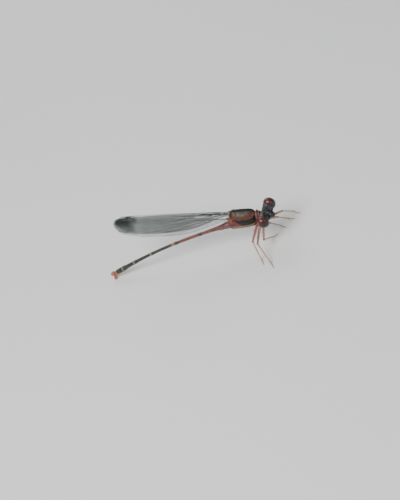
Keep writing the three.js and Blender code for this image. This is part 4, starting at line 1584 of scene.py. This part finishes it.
@dataclass(frozen=True)
class Leg:
    """One leg: its hip in the body's frame, and its knee, ankle and toe in the standing frame."""

    name: str
    hip: tuple[float, float, float]
    knee: tuple[float, float, float]
    ankle: tuple[float, float]
    toe: tuple[float, float]
    ankle_height: float = 0.32
    toe_height: float = 0.075
    stations: tuple[float, ...] = (
        *(0, 0.1, 0.13, 0.2, 0.24, 0.3, 0.8, 0.96, 1.0, 1.04, 1.1, 1.9),
        *(2.0, 2.1, 2.35, 2.38, 2.6, 2.63, 2.92, 3.0),
    )
    widths: tuple[float, ...] = (
        *(0.28, 0.27, 0.21, 0.26, 0.23, 0.26, 0.23, 0.18, 0.19, 0.15, 0.12, 0.1),
        *(0.12, 0.08, 0.09, 0.06, 0.08, 0.06, 0.075, 0.05),
    )
    toe_joints: tuple[float, ...] = (2.0, 2.37, 2.62)
    spine_rows: tuple[SpineRow, ...] = (
        SpineRow(1.12, 1.93, 8, 0.5),
        SpineRow(0.38, 0.95, 7, 0.32),
        SpineRow(2.1, 2.9, 5, 0.12),
    )

    @property
    def nodes(self) -> tuple[str, ...]:
        """The solids that the leg replaces."""
        return tuple(f"leg_{self.name}_{joint}" for joint in ("thigh", "shin", "foot"))

    def path(self, stance: Stance) -> tuple[Array, Array, Array]:
        """The leg's middle line from hip to toe.

        Args:
            stance: places the hip.

        Returns:
            (n, 3) standing places, (n,) half widths, and (n,) values from 0 at the hip to 3 at the toe.
        """
        hip = stance.stand(np.array([self.hip]))[0]
        knee = np.array(self.knee)
        ankle = np.array([*self.ankle, self.ankle_height])
        toe = np.array([*self.toe, self.toe_height])
        low = ankle + (toe - ankle) * 0.3
        low[2] = self.toe_height + 0.02
        share = np.linspace(0, 1, 60)[:, None]
        thigh = hip * (1 - share) + knee * share
        shin = knee * (1 - share) + ankle * share
        heel = ankle + (low - ankle) * share[:20] / share[19]
        foot = np.vstack([heel, low + (toe - low) * share[1:46] / share[45]])
        path = np.vstack([thigh, shin[1:], foot[1:]])
        where = np.concatenate([share[:, 0], 1 + share[1:, 0], 2 + np.linspace(0, 1, len(foot))[1:]])
        return path, np.interp(where, self.stations, self.widths), where

    def shell(self, stance: Stance) -> Shell:
        """The leg's skin: reddish to the knee and pale below it, with a dark line on each part.

        Args:
            stance: places the hip.

        Returns:
            The painted leg, in the standing frame.
        """
        path, half, where = self.path(stance)
        rings = rings_along(path, half, 24, up=LEG_UP)
        t = np.linspace(0, FULL_TURN, 24, endpoint=False)[None, :]
        w = where[:, None] + 0 * t
        thigh = smooth(0.25, 0.35, w) * smooth(1.0, 0.9, w)
        shin = smooth(1.05, 1.1, w) * smooth(2.0, 1.9, w)
        paint = coat_of(Tint.PINK, w.shape)
        paint = blend(paint, Tint.DARK_RED, 0.6 * smooth(0.2, 0.05, w))
        paint = blend(paint, Tint.BLACK, 0.7 * hump(math.pi / 2, 0.3, t) * thigh)
        paint = blend(paint, Tint.BLACK, 0.6 * hump(0.99, 0.03, w))
        paint = blend(paint, Tint.STRAW, smooth(1.01, 1.06, w))
        paint = blend(paint, Tint.BLACK, 0.7 * hump(math.pi / 2, 0.35, t) * shin)
        for joint in self.toe_joints:
            paint = blend(paint, Tint.DARK_RED, 0.6 * hump(joint, 0.03, w))
        return Shell.from_grid(rings, paint)

    def spines(self, stance: Stance) -> Shell:
        """Rows of dark spines: long ones on the shin and shorter ones on the thigh and the foot.

        Args:
            stance: places the hip.

        Returns:
            The spines as thin cones, in the standing frame.
        """
        path, half, where = self.path(stance)
        way = unit(np.gradient(path, axis=0))
        side = unit(np.cross(np.broadcast_to(LEG_UP, way.shape), way))
        lines = np.concatenate([path, way, side, np.cross(way, side)], 1)
        roots, tips = [], []
        for spines in self.spine_rows:
            for row in (-1, 1):
                places = np.linspace(spines.low, spines.high, spines.count) + 0.02 * row
                read = np.stack([np.interp(places, where, line) for line in lines.T], -1)
                at, w, s, o = np.split(read, 4, axis=1)
                out = -0.75 * o + row * 0.65 * s
                root = at + out * np.interp(places, where, half)[:, None] * 0.8
                roots.append(root)
                tips.append(root + unit(out + 0.9 * w) * spines.length)
        ends = np.vstack(tips)
        ends[:, 2] = np.maximum(ends[:, 2], 0.01)
        return needles(np.vstack(roots), ends, np.full(len(ends), 0.014), Tint.BLACK, 4)

    def claws(self) -> Shell:
        """The two hooked claws at the toe's end.

        Returns:
            The claws, in the standing frame.
        """
        toe = np.array([*self.toe, self.toe_height])
        ahead = unit(np.array([self.toe[0] - self.ankle[0], self.toe[1] - self.ankle[1], 0.0]))
        across = np.cross(UPWARD, ahead)
        share = np.linspace(0, 1, 12)[:, None]
        hook = UPWARD * (0.02 - 0.075 * share**2)
        shells = []
        for row in (-1, 1):
            spread = row * (0.02 + 0.07 * np.sin(share * math.pi / 2))
            path = toe + ahead * (0.12 * share - 0.02) + across * spread + hook
            rings = rings_along(path, 0.02 * (1.05 - share[:, 0]), 8)
            shells.append(Shell.from_grid(rings, coat_of(Tint.BLACK, rings.shape[:2])))
        return joined(shells)


LEGS: tuple[Leg, ...] = (
    Leg("front_right", (3.4, -0.3, -1.2), (13.8, -1.4, 2.7), (14.3, 1.4), (15.3, 2.1)),
    Leg("middle_right", (2.9, -0.6, -1.15), (12.6, -2.1, 2.7), (14.5, -5.3), (15.1, -6.5)),
    Leg("hind_right", (2.2, -0.7, -1.4), (12.5, -3.2, 4.5), (12.5, -3.8), (13.0, -5.1)),
    Leg("front_left", (3.4, 0.3, -1.2), (17.5, 3.9, 3.8), (18.3, 7.0), (19.5, 6.3)),
    Leg("middle_left", (2.9, 0.6, -1.15), (16.2, 3.8, 2.7), (17.3, 5.4), (18.5, 5.2)),
    Leg("hind_left", (2.2, 0.7, -1.4), (14.6, 3.1, 2.3), (15.8, 4.0), (17.0, 3.3)),
)


@dataclass(frozen=True)
class Lamp:
    """One soft square lamp, by its place and size in metres and its power in watts."""

    name: str
    at: tuple[float, float, float]
    size: float
    power: float


@dataclass
class Studio:
    """The pale floor, the soft lamps and the camera, whose place and ways are in the body's frame."""

    stance: Stance
    camera_at: tuple[float, float, float] = (55.49, -147.25, 98.21)
    right: tuple[float, float, float] = (0.9218, 0.1703, -0.3482)
    down: tuple[float, float, float] = (-0.1756, -0.6173, -0.7669)
    ahead: tuple[float, float, float] = (-0.3455, 0.7681, -0.5391)
    lens: float = 72.0
    sensor: float = 36.0
    floor_half: float = 1.5
    floor_colour: tuple[float, float, float, float] = (0.9, 0.9, 0.88, 1)
    sky_colour: tuple[float, float, float, float] = (0.9, 0.94, 1.0, 1)
    sky_strength: float = 0.34
    aim: tuple[float, float, float] = (0.008, 0.0, 0.004)
    lamps: tuple[Lamp, ...] = (
        Lamp("key", (-0.06, -0.16, 0.26), 0.18, 0.85),
        Lamp("fill", (0.26, -0.12, 0.12), 0.2, 0.16),
        Lamp("rim", (-0.1, 0.24, 0.2), 0.16, 0.3),
    )

    def build(self) -> None:
        """Makes the floor, the lamps, the sky and the camera."""
        self.floor()
        for lamp in self.lamps:
            self.light(lamp)
        self.sky()
        self.camera()

    def floor(self) -> None:
        """A wide plain floor of pale card."""
        mesh = bpy.data.meshes.new("floor")
        s = self.floor_half
        mesh.from_pydata([(-s, -s, 0), (s, -s, 0), (s, s, 0), (-s, s, 0)], [], [(0, 1, 2, 3)])
        card = bpy.data.materials.new("floor_card")
        card.use_nodes = True
        skin = card.node_tree.nodes["Principled BSDF"]
        skin.inputs["Base Color"].default_value = self.floor_colour
        skin.inputs["Roughness"].default_value = 0.9
        mesh.materials.append(card)
        floor = bpy.data.objects.new("floor", mesh)
        bpy.context.scene.collection.objects.link(floor)

    def light(self, lamp: Lamp) -> None:
        """Hangs one lamp, with its light, which leaves along -Z, turned towards the insect.

        Args:
            lamp: the lamp.
        """
        light = bpy.data.lights.new(lamp.name, "AREA")
        light.size, light.energy = lamp.size, lamp.power
        holder = bpy.data.objects.new(lamp.name, light)
        holder.location = lamp.at
        way = Vector(self.aim) - Vector(lamp.at)
        holder.rotation_euler = way.to_track_quat("-Z", "Y").to_euler()
        bpy.context.scene.collection.objects.link(holder)

    def sky(self) -> None:
        """An even pale light from all round."""
        world = bpy.data.worlds.new("studio")
        world.use_nodes = True
        sky = world.node_tree.nodes["Background"]
        sky.inputs["Color"].default_value = self.sky_colour
        sky.inputs["Strength"].default_value = self.sky_strength
        bpy.context.scene.world = world

    def camera(self) -> None:
        """The camera, turned with the body from the body's frame into the standing one."""
        lens = bpy.data.cameras.new("camera")
        lens.lens, lens.sensor_width, lens.clip_start, lens.clip_end = self.lens, self.sensor, 0.002, 10.0
        holder = bpy.data.objects.new("camera", lens)
        ways = np.array([self.right, self.down, self.ahead]) @ self.stance.matrix().T
        matrix = np.eye(4)
        matrix[:3, :3] = (unit(ways) * [[1], [-1], [-1]]).T
        matrix[:3, 3] = self.stance.stand(np.array(self.camera_at)) * MM
        holder.matrix_world = Matrix(matrix.tolist())
        bpy.context.scene.collection.objects.link(holder)
        bpy.context.scene.camera = holder


BODY_SKIN = Cuticle("thorax_skin", roughness=0.42, gloss=0.04, shine=0.3)
FACE_SKIN = Cuticle("face_skin", roughness=0.36, gloss=0.3, mottle=0.3, depth=0.006)
TAIL_SKIN = Cuticle("tail_skin", roughness=0.38, gloss=0.35, mottle=0.4)
LEG_SKIN = Cuticle("leg_skin", roughness=0.42, gloss=0.25, glow=0.2)
VEIN_SKIN = Cuticle("vein_skin", roughness=0.35, gloss=0.2, mottle=0.2, depth=0.003)
HORN = Cuticle("bristle_horn", roughness=0.4, gloss=0.2, mottle=0.1, depth=0.001)
FIRST_WING_SEED = 61


def make_front(shop: Workshop) -> None:
    """Makes the thorax, the saddle and the head.

    Args:
        shop: makes the pieces.
    """
    thorax, saddle, head = Thorax(), Prothorax(), Head()
    shop.piece("thorax", thorax.shell(), BODY_SKIN, ("synthorax",))
    shop.piece("thorax_hairs", thorax.bristles(), HORN)
    shop.piece("wing_hinges", thorax.hinges(), BODY_SKIN)
    shop.piece("saddle", saddle.shell(), BODY_SKIN, ("prothorax",))
    shop.piece("neck", saddle.neck(head.place), BODY_SKIN)
    shop.piece("head_capsule", head.capsule(), FACE_SKIN, ("head",))
    shop.piece("simple_eyes", head.simple_eyes(), EyeGlass())
    shop.piece("face_hairs", head.bristles(), HORN)
    for side in Side:
        shop.piece(f"compound_eye_{side.hand}", head.eye(side), EyeGlass(), (f"eye_{side.hand}",))
        shop.piece(f"feeler_{side.hand}", head.feeler(side), HORN, (f"antenna_{side.hand}",))


def make_tail(shop: Workshop) -> None:
    """Makes the tail and the claspers.

    Args:
        shop: makes the pieces.
    """
    tail = Abdomen()
    segments = tuple(f"abdomen_{n}" for n in range(1, len(tail.lengths) + 1))
    shop.piece("tail", tail.shell(), TAIL_SKIN, segments)
    shop.piece("tail_claspers", tail.claspers(), TAIL_SKIN, ("claspers",))
    shop.piece("tail_hairs", tail.bristles(), HORN)


def make_wings(shop: Workshop) -> None:
    """Makes the four wings, each with a seed of its own.

    Args:
        shop: makes the pieces.
    """
    wings = ((side, plan) for side in Side for plan in WING_PLANS)
    for seed, (side, plan) in enumerate(wings, FIRST_WING_SEED):
        wing = Wing(plan, side, seed)
        solid = f"{plan.pair}wing_{side.hand}"
        shop.piece(f"{plan.pair}wing_skin_{side.hand}", wing.membrane(), Membrane(), (solid,))
        shop.piece(f"{plan.pair}wing_veins_{side.hand}", wing.net(), VEIN_SKIN)


def make_legs(shop: Workshop) -> None:
    """Makes the six legs, with their spines and claws.

    Args:
        shop: makes the pieces.
    """
    for leg in LEGS:
        name = f"leg_{leg.name}"
        shop.piece(name, leg.shell(shop.stance), LEG_SKIN, leg.nodes, standing=True)
        shop.piece(f"{name}_spines", leg.spines(shop.stance), HORN, standing=True)
        shop.piece(f"{name}_claws", leg.claws(), HORN, standing=True)


def main() -> None:
    """Builds the studio and the insect in it."""
    logging.basicConfig(level=logging.INFO, format="%(message)s")
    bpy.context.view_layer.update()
    shop = Workshop()
    Studio(shop.stance).build()
    make_front(shop)
    make_tail(shop)
    make_wings(shop)
    make_legs(shop)


if __name__ == "__main__":
    main()
